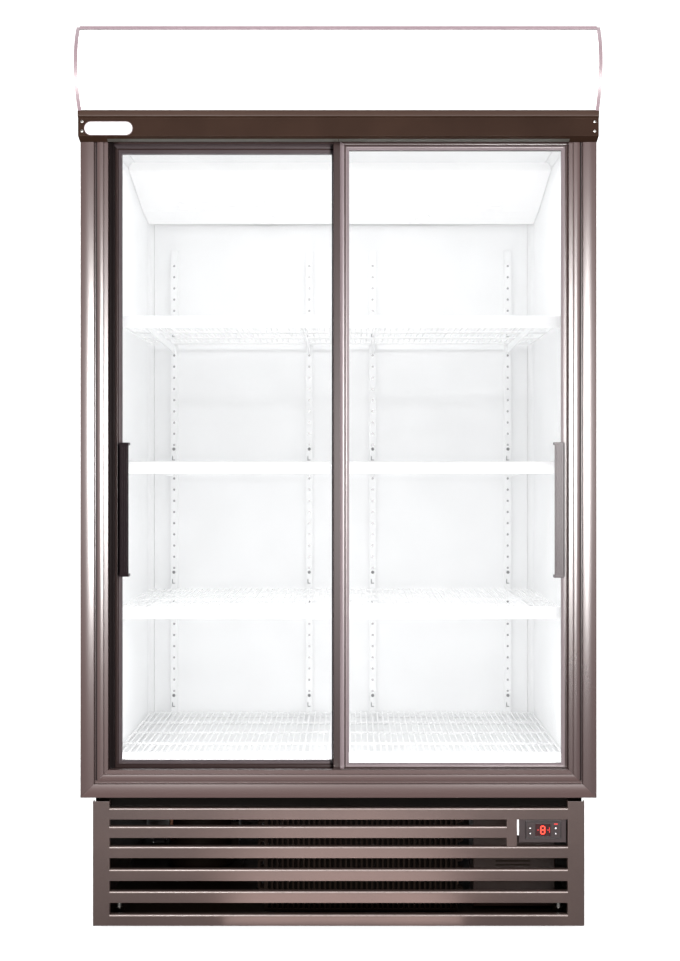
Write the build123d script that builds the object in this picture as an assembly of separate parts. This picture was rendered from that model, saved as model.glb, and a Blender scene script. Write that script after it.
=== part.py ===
from build123d import *
import os

# Sliding-door drinks merchandiser. Millimetres, +X right, +Y to the back, +Z up.
# The origin is on the floor, under the middle of the overall box.

# Overall sizes
width = 1140.0
depth = 705.0
height = 1990.0
sign_bulge = 55.0
half = width / 2
face = -depth / 2 + sign_bulge  # front plane of the door surround
back = depth / 2

# Insulated cabinet
body_low = 302.0
body_high = 1848.0
skin = 1.0
casing_half = half - 2
clear_half = 530.0  # half of the inner width
floor_z = 330.0
ceiling_z = 1798.0
inner_back = back - 50
casing_front = face + 20

# Door surround and tracks
surround_width = 60.0
surround_depth = 20.0
fascia_low = 1749.0
fascia_high = 1811.0
fascia_front = face - 18.5
lip_front = face - 22
track_front = face + 20.5
track_back = face + 82
track_x = (-clear_half + 0.5, clear_half - 0.5)
lip_wall = 2.0
rib_top = 338.7
rib_width = 3.0

# Doors: the right door runs in the front runway, the left door in the rear one
door_width = 540.0
door_low = 342.0
door_high = 1769.0
door_thick = 22.0
outer_stile = 28.0
meeting_stile = 32.5
rail = 26.0
left_door_x = -520.0
right_door_x = -12.0
left_door_y = face + 55
right_door_y = face + 28
pocket_depth = 8.2
pane = 4.0
spacer_width = 9.5
handle_width = 20.0
handle_proud = 18.0
handle_low = 788.0
handle_high = 1086.5
roller_z = 346.0
roller_inset = 60.0
pin_radius = 2.0
running = 0.05  # radial clearance of a turning fit

# Shelves
columns = [(-525.0, -22.0), (22.0, 525.0)]
bottom_strip = 371.0
shelf_pitch = 337.7
strip_tops = [bottom_strip + level * shelf_pitch for level in range(4)]
strip_height = 28.0
shelf_front = face + 130
shelf_back = face + 582
wire_pitch = 14.5
wire_radius = 1.5
rod_radius = 3.0
side_radius = 2.6
pilaster_x = [-458.0, -87.0, 87.0, 458.0]
pilaster_width = 19.5
pilaster_front = inner_back - 12
pilaster_top = 1630.0
slot_pitch = shelf_pitch / 11

# Machine compartment
frame_half = 545.0
pan_z = 12.0
sheet = 2.0
grille_half = 549.0
grille_low = 8.0
grille_high = 286.0
grille_y = face + 30
post_width = 37.0
slat_height = 24.5
slat_tops = [270.0, 229.0, 184.0, 133.0, 84.0, 32.0]
strut = (375.5, 398.0)
foot_x = 500.0
foot_y = face + 80
castor_x = 496.0
castor_y = face + 590
castor_radius = 25.0
castor_pin = 4.0

# Controller, set back in the right end of the grille
plate_x = (404.0, 509.0)
plate_z = (192.0, 249.0)
bezel_x = (418.0, 498.0)
bezel_z = (201.0, 240.0)
window_x = (440.0, 474.0)
window_z = (207.0, 234.0)
plate_y = face + 38
button_radius = 3.2
button_places = {
    "set_button": (428.3, 225.0),
    "down_button": (428.3, 213.0),
    "defrost_button": (485.4, 225.0),
    "up_button": (485.4, 213.0),
}

os.makedirs("parts", exist_ok=True)


def slab(x, y, z):
    """A box from the low to the high end along each axis."""
    size = [high - low for low, high in (x, y, z)]
    middle = [(high + low) / 2 for low, high in (x, y, z)]
    return Pos(*middle) * Box(*size)


def rod(start, end, radius):
    """A round bar between two points."""
    way = Vector(*end) - Vector(*start)
    return extrude(Plane(origin=start, z_dir=way) * Circle(radius), amount=way.length)


def ring(x, y, z, edge):
    """A picture-frame ring with an even edge all round, in the XZ plane."""
    inner = slab((x[0] + edge, x[1] - edge), (y[0] - 1, y[1] + 1), (z[0] + edge, z[1] - edge))
    return slab(x, y, z) - inner


def along_x(outline, low, high):
    """A closed outline of (y, z) edges, run between two places along X."""
    return extrude(Plane.YZ.offset(low) * make_face(outline), amount=high - low, dir=(1, 0, 0))


def mirrored(shape):
    return mirror(shape, about=Plane.YZ)


def save(name, *shapes):
    """Write one sub-part, as one or more separate solids."""
    solids = [solid for shape in shapes for solid in shape.solids()]
    export_step(solids[0] if len(solids) == 1 else Compound(solids), f"parts/{name}.step")


# ---------------------------------------------------------------- cabinet


def make_casing():
    outer = slab((-casing_half, casing_half), (casing_front, back - skin), (body_low, body_high))
    inner_x = casing_half - skin
    inner = slab((-inner_x, inner_x), (casing_front - 1, back), (body_low + skin, body_high - skin))
    save("outer_casing", outer - inner)
    save(
        "rear_panel",
        slab((-casing_half, casing_half), (back - skin, back), (body_low, body_high)),
    )


def make_insulation():
    """Five foam walls between the casing and the liner, open at the front."""
    outside = casing_half - skin
    inside = clear_half + skin
    low, high = body_low + skin, body_high - skin
    front, rear = casing_front, back - skin
    left = slab((-outside, -inside), (front, rear), (floor_z - skin, ceiling_z + skin))
    save(
        "foam_insulation",
        left,
        mirrored(left),
        slab((-outside, outside), (front, rear), (ceiling_z + skin, high)),
        slab((-outside, outside), (front, rear), (low, floor_z - skin)),
        slab((-inside, inside), (inner_back + skin, rear), (floor_z - skin, ceiling_z + skin)),
    )


def make_liner():
    outside = clear_half + skin
    shell = slab(
        (-outside, outside),
        (casing_front, inner_back + skin),
        (floor_z - skin, ceiling_z + skin),
    )
    hollow = slab((-clear_half, clear_half), (casing_front - 1, inner_back), (floor_z, ceiling_z))
    save("inner_liner", shell - hollow)


def surround_profile():
    """Broad band with a shallow crown, groove, smaller rib and thin inner lip: x inward, y backward."""
    band_end, groove_end, rib_end = 31.0, 36.5, 52.0
    shoulder = 1.8
    outline = Curve() + [
        Line((0, surround_depth), (0, 2 * shoulder)),
        ThreePointArc((0, 2 * shoulder), (0.35 * shoulder, 1.1 * shoulder), (shoulder, 0.7 * shoulder)),
        ThreePointArc((shoulder, 0.7 * shoulder), (band_end / 2, 0), (band_end - 1, 0.7 * shoulder)),
        Polyline((band_end - 1, 0.7 * shoulder), (band_end, 9), (groove_end, 9), (groove_end, 4)),
        ThreePointArc((groove_end, 4), (groove_end + 0.5, 2.9), (groove_end + 1.6, 2.4)),
        ThreePointArc((groove_end + 1.6, 2.4), (44.2, 1.7), (rib_end - 1, 2.4)),
        Polyline(
            (rib_end - 1, 2.4),
            (rib_end, 7),
            (surround_width, 7),
            (surround_width, surround_depth),
            (0, surround_depth),
        ),
    ]
    return make_face(outline)


def make_surround():
    """Two uprights and a sill, mitred at the lower corners."""
    gap = 0.1
    upright = extrude(
        Pos(-half, face, body_low) * surround_profile(), amount=fascia_high - body_low
    )
    corner = Plane(origin=(-half, face, body_low + gap), z_dir=(-1, 0, 1))
    upright = split(upright, bisect_by=corner, keep=Keep.TOP)
    sill_plane = Plane(origin=(half, face, body_low), x_dir=(0, 0, 1), z_dir=(-1, 0, 0))
    sill = extrude(sill_plane * surround_profile(), amount=width)
    for side in (-1, 1):
        end = Plane(origin=(side * half, face, body_low - gap), z_dir=(-side, 0, -1))
        sill = split(sill, bisect_by=end, keep=Keep.TOP)
    save("surround_left", upright)
    save("surround_right", mirrored(upright))
    save("surround_bottom", sill)


def track_lips(z):
    """The front, middle and rear walls that guide the two doors."""
    middle = (left_door_y + right_door_y + door_thick) / 2
    fronts = [track_front, middle - 1, track_back - lip_wall]
    return [slab(track_x, (front, front + lip_wall), z) for front in fronts]


def make_tracks():
    header_x = (-half + surround_width + 0.5, half - surround_width - 0.5)
    header = slab(header_x, (face + 2, face + 4), (fascia_low + 3, fascia_high - 1))
    roof_z = (ceiling_z - 6, ceiling_z - 0.3)
    bridge = slab(header_x, (face + 2, track_front + 1), roof_z)
    roof = slab(track_x, (track_front, track_back), roof_z)
    lips = track_lips((fascia_low + 11, ceiling_z - 5))
    save("top_track", roof.fuse(header, bridge, *lips))

    base = slab(track_x, (track_front, track_back), (floor_z + 0.2, floor_z + 2.5))
    walls = track_lips((floor_z + 0.2, door_low + 1))
    ribs = []
    for door_y in (left_door_y, right_door_y):
        middle = door_y + door_thick / 2
        rib_y = (middle - rib_width / 2, middle + rib_width / 2)
        ribs.append(slab(track_x, rib_y, (floor_z + 2, rib_top)))
    save("bottom_track", base.fuse(walls[0], walls[2], *ribs))


def make_fascia():
    """Folded sheet with a proud top lip and a slanted underside, closed by end plates."""
    wall = 1.5
    folded = Polyline(
        (face - 0.2, fascia_high),
        (lip_front, fascia_high),
        (lip_front, fascia_high - 12),
        (fascia_front, fascia_high - 15),
        (fascia_front, fascia_low + 8),
        (face - 0.2, fascia_low),
        (face - 0.2, fascia_low + wall),
        (fascia_front + wall, fascia_low + 9),
        (fascia_front + wall, fascia_high - 14),
        (lip_front + wall, fascia_high - 11),
        (lip_front + wall, fascia_high - wall),
        (face - 0.2, fascia_high - wall),
        close=True,
    )
    filled = Polyline(
        (face - 0.2, fascia_high),
        (lip_front, fascia_high),
        (lip_front, fascia_high - 12),
        (fascia_front, fascia_high - 15),
        (fascia_front, fascia_low + 8),
        (face - 0.2, fascia_low),
        close=True,
    )
    end = along_x(filled, -half, -half + 3)
    fascia = along_x(folded, -half, half).fuse(end, mirrored(end))
    screws = []
    for x in (-half + 9, half - 9):
        for z in (fascia_high - 23, fascia_low + 18):
            fascia -= rod((x, fascia_front - 1, z), (x, face - 10, z), 1.6)
            shank = rod((x, fascia_front - 0.5, z), (x, fascia_front + 7, z), 1.5)
            head = rod((x, fascia_front - 1.4, z), (x, fascia_front, z), 2.8)
            screws.append(head.fuse(shank))
    save("fascia", fascia)
    save("fascia_screws", *screws)


def make_badge():
    """Blank pill-shaped plate near the left end of the fascia."""
    plane = Plane(origin=(-503, fascia_front, 1773), x_dir=(1, 0, 0), z_dir=(0, -1, 0))
    pill = extrude(plane * SlotOverall(105, 29), amount=2)
    save("blank_badge", fillet(pill.edges().group_by(Axis.Y)[0], 0.8))


# ---------------------------------------------------------------- canopy sign

canopy_back = face + 105
canopy_low = fascia_high + 0.5
canopy_front = (face - 20, canopy_low)
canopy_top = (face - 30, height)
canopy_crown = (face - sign_bulge, 1900)
cap_width = 8.0


def canopy_outline():
    """Side view of the light box: curved front, sloping top, foot stepped over the casing."""
    return Curve() + [
        ThreePointArc(canopy_front, canopy_crown, canopy_top),
        Polyline(
            canopy_top,
            (canopy_back, height - 25),
            (canopy_back, body_high + 0.5),
            (casing_front - 0.5, body_high + 0.5),
            (casing_front - 0.5, canopy_low),
            canopy_front,
        ),
    ]


def make_canopy():
    inner_x = half - cap_width - 0.2
    wall = 1.5
    shell = along_x(canopy_outline(), -inner_x, inner_x)
    hollow = Polyline(
        (face - 80, canopy_low + wall),
        (casing_front - 0.5 - wall, canopy_low + wall),
        (casing_front - 0.5 - wall, body_high + 0.5 + wall),
        (canopy_back - wall, body_high + 0.5 + wall),
        (canopy_back - wall, height - 26.5),
        (face - 20, height - 3.5),
        (face - 20, height + 10),
        (face - 80, height + 10),
        close=True,
    )
    save("canopy_housing", shell - along_x(hollow, -inner_x - 1, inner_x + 1))

    thick = 3.0
    low, high = canopy_low + 2, height - 7
    front, crown, top = face - 20.6, face - sign_bulge + 0.5, face - 32.0
    panel = Curve() + [
        ThreePointArc((front, low), (crown, 1900), (top, high)),
        Line((top, high), (top + thick, high)),
        ThreePointArc((top + thick, high), (crown + thick, 1900), (front + thick, low)),
        Line((front + thick, low), (front, low)),
    ]
    save("sign_panel", along_x(panel, -inner_x, inner_x))

    cap = along_x(canopy_outline(), -half, -half + cap_width)
    strip = slab((-inner_x, inner_x), (face - 36, face - 33.5), (height - 6, height))
    strip = strip.fuse(slab((-inner_x, inner_x), (face - 36, face - 20.5), (height - 2.2, height)))
    shell_top = slab((-inner_x, inner_x), (face - 19, face), (height - 60, height))
    save("sign_trim", cap, mirrored(cap), strip - shell_top)


def make_lamps():
    """Two tubes behind the sign and one inside, above the doors, each with end caps."""
    places = [
        (430.0, face + 15, 1868.0, 13.0),
        (430.0, face + 15, 1935.0, 13.0),
        (480.0, face + 105, 1785.0, 8.0),
    ]
    tubes = []
    for reach, y, z, radius in places:
        tube = rod((-reach, y, z), (reach, y, z), radius)
        for side in (-1, 1):
            cap = rod((side * (reach - 1), y, z), (side * (reach + 20), y, z), radius + 2)
            tube = tube.fuse(cap)
        tubes.append(tube)
    save("lamp_tubes", *tubes)


# ---------------------------------------------------------------- interior


def make_pilasters():
    """Slotted uprights on the rear wall."""
    low = 345.0
    pilasters = []
    for x in pilaster_x:
        outer_x = (x - pilaster_width / 2, x + pilaster_width / 2)
        channel = slab(outer_x, (pilaster_front, inner_back), (low, pilaster_top))
        inner_x = (outer_x[0] + 1.5, outer_x[1] - 1.5)
        channel -= slab(inner_x, (pilaster_front + 1.5, inner_back + 1), (low - 1, pilaster_top + 1))
        count = int((pilaster_top - low) / slot_pitch)
        slots = []
        for step in range(count):
            z = low + 15 + step * slot_pitch
            slots.append(rod((x, pilaster_front - 1, z), (x, pilaster_front + 3, z), 3.2))
        pilasters.append(channel.cut(*slots))
    save("shelf_pilasters", *pilasters)


def make_brackets():
    """A hook plate on each pilaster with a tapered arm under the shelf."""
    brackets = []
    for top in strip_tops:
        arm_top = top - 12.2
        for x in pilaster_x:
            plate_y = (pilaster_front - 3.7, pilaster_front - 0.1)
            plate = slab((x - 8, x + 8), plate_y, (arm_top - 24, top + 48))
            arm_outline = Polyline(
                (shelf_front + 12, arm_top),
                (pilaster_front - 3, arm_top),
                (pilaster_front - 3, arm_top - 24),
                (shelf_front + 12, arm_top - 9),
                close=True,
            )
            brackets.append(plate.fuse(along_x(arm_outline, x - 1.5, x + 1.5)))
    save("shelf_brackets", *brackets)


def wire_shelf(x, top):
    """Five cross rods and two side rods, carrying close wires from front to back."""
    wire_z = top - 4 - wire_radius
    rod_z = wire_z - wire_radius - rod_radius + 0.8
    low_y, high_y = shelf_front + rod_radius, shelf_back - rod_radius
    low_x, high_x = x[0] + rod_radius, x[1] - rod_radius
    rods = []
    for step in range(5):
        y = low_y + step * (high_y - low_y) / 4
        rods.append(rod((low_x - 2.9, y, rod_z), (high_x + 2.9, y, rod_z), rod_radius))
    for side in (low_x, high_x):
        rods.append(rod((side, low_y + 0.7, rod_z), (side, high_y - 0.7, rod_z), side_radius))
    spaces = round((high_x - low_x) / wire_pitch)
    for step in range(1, spaces):
        wire_x = low_x + step * (high_x - low_x) / spaces
        plane = Plane(origin=(wire_x, low_y - 1, wire_z), z_dir=(0, 1, 0))
        rods.append(extrude(plane * RegularPolygon(wire_radius, 12), amount=high_y - low_y + 2))
    return rods[0].fuse(*rods[1:])


def make_shelves():
    strips = []
    for level, top in enumerate(strip_tops, start=1):
        save(f"shelves_level_{level}", *[wire_shelf(x, top) for x in columns])
        for x in columns:
            front = slab(x, (shelf_front - 4, shelf_front - 1.5), (top - strip_height, top))
            strips.append(fillet(front.edges().filter_by(Axis.X), 1.0))
    save("price_strips", *strips)


evaporator_front = face + 326
cover_bend = face + 510
cover_rear = inner_back - 12
fan_x = 210.0
fan_z = 1755.5
fan_front = face + 550


def make_evaporator():
    """A folded cover under the ceiling, with the coil and two small fans above it."""
    wall = 1.5
    cover = Polyline(
        (evaporator_front, 1788),
        (evaporator_front, 1776),
        (cover_bend, 1718),
        (cover_rear, 1703),
        (cover_rear, 1703 + wall),
        (cover_bend, 1718 + wall),
        (evaporator_front + wall, 1776 + wall),
        (evaporator_front + wall, 1788),
        close=True,
    )
    save("evaporator_cover", along_x(cover, -clear_half + 2, clear_half - 2))

    coil = slab((-400, 400), (face + 435, face + 535), (1748, 1792))
    gaps = []
    for step in range(49):
        x = -392 + step * 16
        gaps.append(slab((x, x + 8), (face + 434, face + 536), (1754, 1793)))
    bends = []
    for y in (face + 455, face + 485, face + 515):
        bends.append(rod((-412, y, 1770), (-399, y, 1770), 5))
        bends.append(rod((399, y, 1770), (412, y, 1770), 5))
    save("evaporator_coil", coil.cut(*gaps).fuse(*bends))

    frames = []
    for x in (-fan_x, fan_x):
        frame = slab((x - 40, x + 40), (fan_front, fan_front + 25), (fan_z - 40, fan_z + 40))
        frame -= rod((x, fan_front - 1, fan_z), (x, fan_front + 26, fan_z), 37)
        motor = rod((x, fan_front + 20, fan_z), (x, fan_front + 25, fan_z), 14)
        pin = rod((x, fan_front + 5, fan_z), (x, fan_front + 21, fan_z), pin_radius)
        bar_y = (fan_front + 22, fan_front + 24)
        bars = slab((x - 39, x + 39), bar_y, (fan_z - 2, fan_z + 2))
        frames.append(frame.fuse(motor, pin, bars))
    save("evaporator_motors", *frames)
    for name, x in (("left", -fan_x), ("right", fan_x)):
        blades = fan_blades(14, 35, 5, 11, pin_radius + running)
        save(f"evaporator_fan_{name}", Pos(x, fan_front + 13, fan_z) * blades)


def fan_blades(hub, reach, count, thick, bore):
    """A hub with pitched blades, turning about Y, centred on the origin."""
    wheel = rod((0, -thick / 2, 0), (0, thick / 2, 0), hub)
    for step in range(count):
        blade = Pos((hub + reach) / 2 - 1.5, 0, 0) * Rot(28, 0, 0) * Box(
            reach - hub, 1.5, hub * 1.2
        )
        wheel = wheel.fuse(Rot(0, step * 360 / count, 0) * blade)
    wheel = wheel & rod((0, -thick / 2, 0), (0, thick / 2, 0), reach)
    return wheel - rod((0, -thick, 0), (0, thick, 0), bore)


# ---------------------------------------------------------------- doors


def glass_span(side, x_low):
    """Visible glass between the stiles; the outer stile is the narrower one."""
    if side == "left":
        return x_low + outer_stile, x_low + door_width - meeting_stile
    return x_low + meeting_stile, x_low + door_width - outer_stile


def roller_places(x_low):
    return {"a": x_low + roller_inset, "b": x_low + door_width - roller_inset}


def make_door_frame(side, x_low, y_low):
    """Two full-height stiles and two rails, grooved for the glass, pocketed for rollers."""
    glass_low, glass_high = glass_span(side, x_low)
    y = (y_low, y_low + door_thick)
    z = (door_low, door_high)
    stiles = [slab((x_low, glass_low), y, z), slab((glass_high, x_low + door_width), y, z)]
    rails = [
        slab((glass_low, glass_high), y, (door_low, door_low + rail)),
        slab((glass_low, glass_high), y, (door_high - rail, door_high)),
    ]
    groove = slab(
        (glass_low - pocket_depth, glass_high + pocket_depth),
        (y_low + 2.8, y_low + door_thick - 2.8),
        (door_low + rail - pocket_depth, door_high - rail + pocket_depth),
    )
    middle = y_low + door_thick / 2
    pocket_y = (middle - 7, middle + 7)
    pocket_z = (door_low - 1, roller_z + 11.5)
    pockets = []
    for x in roller_places(x_low).values():
        pockets.append(slab((x - 12, x + 12), pocket_y, pocket_z))
    members = []
    for stile in stiles:
        rounded = fillet(stile.edges().filter_by(Axis.Z).group_by(Axis.Y)[0], 2.0)
        members.append(rounded - groove)
    for member in rails:
        rounded = fillet(member.edges().filter_by(Axis.X).group_by(Axis.Y)[0], 2.0)
        members.append((rounded - groove).cut(*pockets))
    save(f"{side}_door_frame", *members)


def make_door_glass(side, x_low, y_low):
    """A double-glazed unit: two panes, a spacer between them and a bead on the front."""
    glass_low, glass_high = glass_span(side, x_low)
    edge = pocket_depth - 0.2
    x = (glass_low - edge, glass_high + edge)
    z = (door_low + rail - edge, door_high - rail + edge)
    front = y_low + 3
    panes = [slab(x, (front, front + pane), z), slab(x, (front + 12, front + 12 + pane), z)]
    save(f"{side}_door_glass", *panes)
    spacer = ring(x, (front + pane + 0.1, front + 11.9), z, spacer_width)
    bead_z = (door_low + rail + 0.1, door_high - rail - 0.1)
    bead = ring((glass_low + 0.1, glass_high - 0.1), (y_low + 0.8, front - 0.1), bead_z, 3)
    save(f"{side}_door_seal", spacer, bead)


def make_handle(side, x_low, y_low):
    """A Z-section pull beside the outer stile, with a cap on each end."""
    glass_low, glass_high = glass_span(side, x_low)
    inward = 1 if side == "left" else -1
    edge = glass_low if side == "left" else glass_high

    def span(start, end):
        return tuple(sorted((edge + inward * start, edge + inward * end)))

    front = y_low - handle_proud
    z = (handle_low, handle_high)
    plate = slab(span(1, 1 + handle_width), (front, front + 3), z)
    web = slab(span(1, 4), (front, y_low - 0.1), z)
    foot = slab(span(-5, 4), (y_low - 2.6, y_low - 0.1), z)
    handle = fillet(plate.fuse(web, foot).edges().filter_by(Axis.Z).group_by(Axis.Y)[0], 1.2)
    cap_y = (front - 0.6, y_low - 0.1)
    for cap_z in ((handle_low - 1, handle_low + 5), (handle_high - 5, handle_high + 1)):
        handle = handle.fuse(slab(span(0.4, 1.6 + handle_width), cap_y, cap_z))
    save(f"{side}_door_handle", handle)


def make_rollers(side, x_low, y_low):
    """Grooved rollers on pins, each pin held by a small carrier in the bottom rail."""
    middle = y_low + door_thick / 2
    outer_y, inner_y = (middle - 6.8, middle + 6.8), (middle - 5.2, middle + 5.2)
    carriers = []
    for letter, x in roller_places(x_low).items():
        carrier = slab((x - 11.8, x + 11.8), outer_y, (door_low + 1, roller_z + 11.3))
        carrier -= slab((x - 12, x + 12), inner_y, (door_low, roller_z + 10.1))
        pin = rod((x, middle - 6, roller_z), (x, middle + 6, roller_z), pin_radius)
        carriers.append(carrier.fuse(pin))
        rim, groove, bore = 9.5, 7.0, pin_radius + running
        profile = Polyline(
            (bore, -4.5), (rim, -4.5), (rim, -3.0), (groove, -2.3), (groove, 2.3),
            (rim, 3.0), (rim, 4.5), (bore, 4.5), close=True,
        )
        wheel = revolve(make_face(profile), axis=Axis.Y)
        save(f"{side}_door_roller_{letter}", Pos(x, middle, roller_z) * wheel)
    save(f"{side}_door_carriers", *carriers)


def make_doors():
    for side, x_low, y_low in (
        ("left", left_door_x, left_door_y),
        ("right", right_door_x, right_door_y),
    ):
        make_door_frame(side, x_low, y_low)
        make_door_glass(side, x_low, y_low)
        make_handle(side, x_low, y_low)
        make_rollers(side, x_low, y_low)


# ---------------------------------------------------------------- base


def castor_rod(x, reach, radius):
    """A round bar along the castor's axle, reaching the same way to both sides."""
    start = (x - reach, castor_y, castor_radius)
    return rod(start, (x + reach, castor_y, castor_radius), radius)


def make_base_frame():
    """Side sheets, floor pan and front rail, with bosses for the feet and cheeks for the castors."""
    front, rear = face + 42, back - 8
    side = slab((-frame_half, -frame_half + sheet), (front, rear), (pan_z, body_low))
    pan = slab((-frame_half, frame_half), (front, rear), (pan_z, pan_z + sheet))
    top_rail = slab((-frame_half, frame_half), (front + 4, front + 6), (grille_high - 18, body_low))
    frame = pan.fuse(side, mirrored(side), top_rail)
    for x in (-foot_x, foot_x):
        frame = frame.fuse(rod((x, foot_y, pan_z), (x, foot_y, pan_z + 20), 11))
        frame -= rod((x, foot_y, pan_z - 1), (x, foot_y, pan_z + 21), 5 + running)
    well_y = (castor_y - castor_radius - 4, castor_y + castor_radius + 4)
    cheek_y = (castor_y - 15, castor_y + 15)
    for x in (-castor_x, castor_x):
        frame -= slab((x - 16, x + 16), well_y, (pan_z - 1, pan_z + 3))
        for cheek_x in (x - 16 - sheet, x + 16):
            cheek = slab((cheek_x, cheek_x + sheet), cheek_y, (pan_z, castor_radius + 12))
            frame = frame.fuse(cheek)
        frame = frame.fuse(castor_rod(x, 19, castor_pin))
    save("base_frame", frame)


def make_feet_and_castors():
    for name, x in (("left", -foot_x), ("right", foot_x)):
        pad = Pos(x, foot_y, 5.8) * Cylinder(22, 11.6)
        pad = fillet(pad.edges().group_by(Axis.Z)[-1], 4)
        stud = rod((x, foot_y, 10), (x, foot_y, 62), 5)
        save(f"{name}_foot", pad.fuse(stud))
    for name, x in (("left", -castor_x), ("right", castor_x)):
        wheel = castor_rod(x, 15.5, castor_radius)
        wheel = chamfer(wheel.edges().filter_by(GeomType.CIRCLE), 2)
        save(f"{name}_castor", wheel - castor_rod(x, 17, castor_pin + running))


def slat(x, top):
    """An angle bent from sheet: upright face with a rounded top edge and a flange behind it."""
    wall = 1.5
    low = max(top - slat_height, grille_low)
    outline = Polyline(
        (grille_y, low),
        (grille_y, top),
        (grille_y + 14, top),
        (grille_y + 14, top - wall),
        (grille_y + wall, top - wall),
        (grille_y + wall, low),
        close=True,
    )
    angle = along_x(outline, *x)
    return fillet(angle.edges().filter_by(Axis.X).group_by(Axis.Z)[-1].sort_by(Axis.Y)[0], 2.4)


def make_grille():
    wall = 1.5
    bay = (-grille_half + post_width - 1, grille_half - post_width + 1)
    pieces = []
    for number, top in enumerate(slat_tops):
        pieces.append(slat((bay[0], strut[0] + 1) if number == 1 else bay, top))
    for side in (-1, 1):
        x = sorted((side * grille_half, side * (grille_half - post_width)))
        post = slab(x, (grille_y, grille_y + 12), (grille_low, grille_high))
        inner_x = (x[0] + wall, x[1] - wall)
        post -= slab(inner_x, (grille_y + wall, grille_y + 13), (grille_low - 1, grille_high + 1))
        front_edges = post.edges().filter_by(Axis.Z).group_by(Axis.Y)[0].sort_by(Axis.X)
        outer_edge = front_edges[0] if side < 0 else front_edges[-1]
        pieces.append(fillet(outer_edge, 2.0))
    strut_z = (slat_tops[2] - 2, slat_tops[0] - 2)
    pieces.append(slab(strut, (grille_y + 0.05, grille_y + wall), strut_z))
    save("grille_panel", pieces[0].fuse(*pieces[1:]))

    rear = slab((-frame_half, frame_half), (back - 4, back - 2.5), (30, body_low - 4))
    slots = []
    for column in (-390, -130, 130, 390):
        for row in range(9):
            z = 60 + row * 24
            slots.append(slab((column - 100, column + 100), (back - 5, back), (z, z + 10)))
    hole = rod((480, back - 6, 280), (480, back, 280), 10.2)
    save("rear_grille", rear.cut(*slots, hole))


def make_controller():
    """Set-back plate, raised bezel and body, with a display window and four buttons."""
    plate = slab(plate_x, (plate_y, plate_y + 3), plate_z)
    bezel = slab(bezel_x, (plate_y - 3, plate_y + 1), bezel_z)
    bezel = fillet(bezel.edges().group_by(Axis.Y)[0], 1.0)
    body_x = (bezel_x[0] + 4, bezel_x[1] - 4)
    body_z = (bezel_z[0] + 5, bezel_z[1] - 5)
    body = slab(body_x, (plate_y + 2, plate_y + 58), body_z)
    housing = plate.fuse(bezel, body)
    front = plate_y - 3
    window = slab(window_x, (front, front + 1.2), window_z)
    housing -= window
    for name, (x, z) in button_places.items():
        housing -= rod((x, front - 1, z), (x, front + 10, z), button_radius + 0.3)
        button = rod((x, front - 1.4, z), (x, front + 7, z), button_radius)
        save(name, fillet(button.edges().group_by(Axis.Y)[0], 0.6))
    save("controller_housing", housing)
    lens_x = (window_x[0] + 0.1, window_x[1] - 0.1)
    lens_z = (window_z[0] + 0.1, window_z[1] - 0.1)
    save("controller_display", slab(lens_x, (front - 0.1, front + 1.1), lens_z))


coil_x = (-170.0, 270.0)
coil_y = (face + 78, face + 122)
coil_z = (22.0, 266.0)
condenser_fan_z = 144.0
shroud_y = coil_y[1] + 1


def make_condenser():
    """Finned block, fan shroud with its motor, and the blades between them."""
    block = slab(coil_x, coil_y, coil_z)
    gap_y = (coil_y[0] - 1, coil_y[0] + 20)
    gap_z = (coil_z[0] + 6, coil_z[1] - 6)
    gaps = []
    for step in range(36):
        x = coil_x[0] + 8 + step * 12
        gaps.append(slab((x, x + 8), gap_y, gap_z))
    save("condenser_coil", block.cut(*gaps))

    middle = sum(coil_x) / 2
    z = condenser_fan_z
    plate = slab(coil_x, (shroud_y, shroud_y + 2), coil_z)
    throat = rod((middle, shroud_y, z), (middle, shroud_y + 40, z), 112)
    shroud = plate.fuse(throat) - rod((middle, shroud_y - 1, z), (middle, shroud_y + 41, z), 109)
    motor = rod((middle, shroud_y + 30, z), (middle, shroud_y + 85, z), 38)
    shaft = rod((middle, shroud_y + 8, z), (middle, shroud_y + 31, z), castor_pin)
    arms = slab((middle - 111, middle + 111), (shroud_y + 34, shroud_y + 38), (z - 6, z + 6))
    uprights = slab((middle - 6, middle + 6), (shroud_y + 34, shroud_y + 38), (z - 111, z + 111))
    save("condenser_fan_shroud", shroud.fuse(motor, shaft, arms, uprights))
    blades = fan_blades(30, 103, 5, 20, castor_pin + running)
    save("condenser_fan", Pos(middle, shroud_y + 18, z) * blades)


def make_compressor():
    """Hermetic pot with a domed top on a footed base plate."""
    x, y = -350.0, face + 360
    base_z = pan_z + sheet
    pot = Pos(x, y, base_z + 104) * Cylinder(82, 168)
    pot = fillet(pot.edges().group_by(Axis.Z)[-1], 45)
    pot = fillet(pot.edges().group_by(Axis.Z)[0], 12)
    plate = slab((x - 105, x + 105), (y - 70, y + 70), (base_z + 16, base_z + 21))
    feet = []
    for side_x in (-90, 90):
        for side_y in (-55, 55):
            foot = (x + side_x, y + side_y)
            feet.append(rod((*foot, base_z), (*foot, base_z + 17), 12))
    terminal = slab((x + 70, x + 96), (y - 28, y + 28), (base_z + 70, base_z + 130))
    save("compressor", pot.fuse(plate, terminal, *feet))


def make_power_inlet():
    """Cord gland in the rear grille."""
    x, z = 480.0, 280.0
    barrel = rod((x, back - 20, z), (x, back, z), 10)
    nut = rod((x, back - 8, z), (x, back - 4.1, z), 13)
    bore = rod((x, back - 21, z), (x, back + 1, z), 4.5)
    save("power_inlet", barrel.fuse(nut) - bore)


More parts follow.
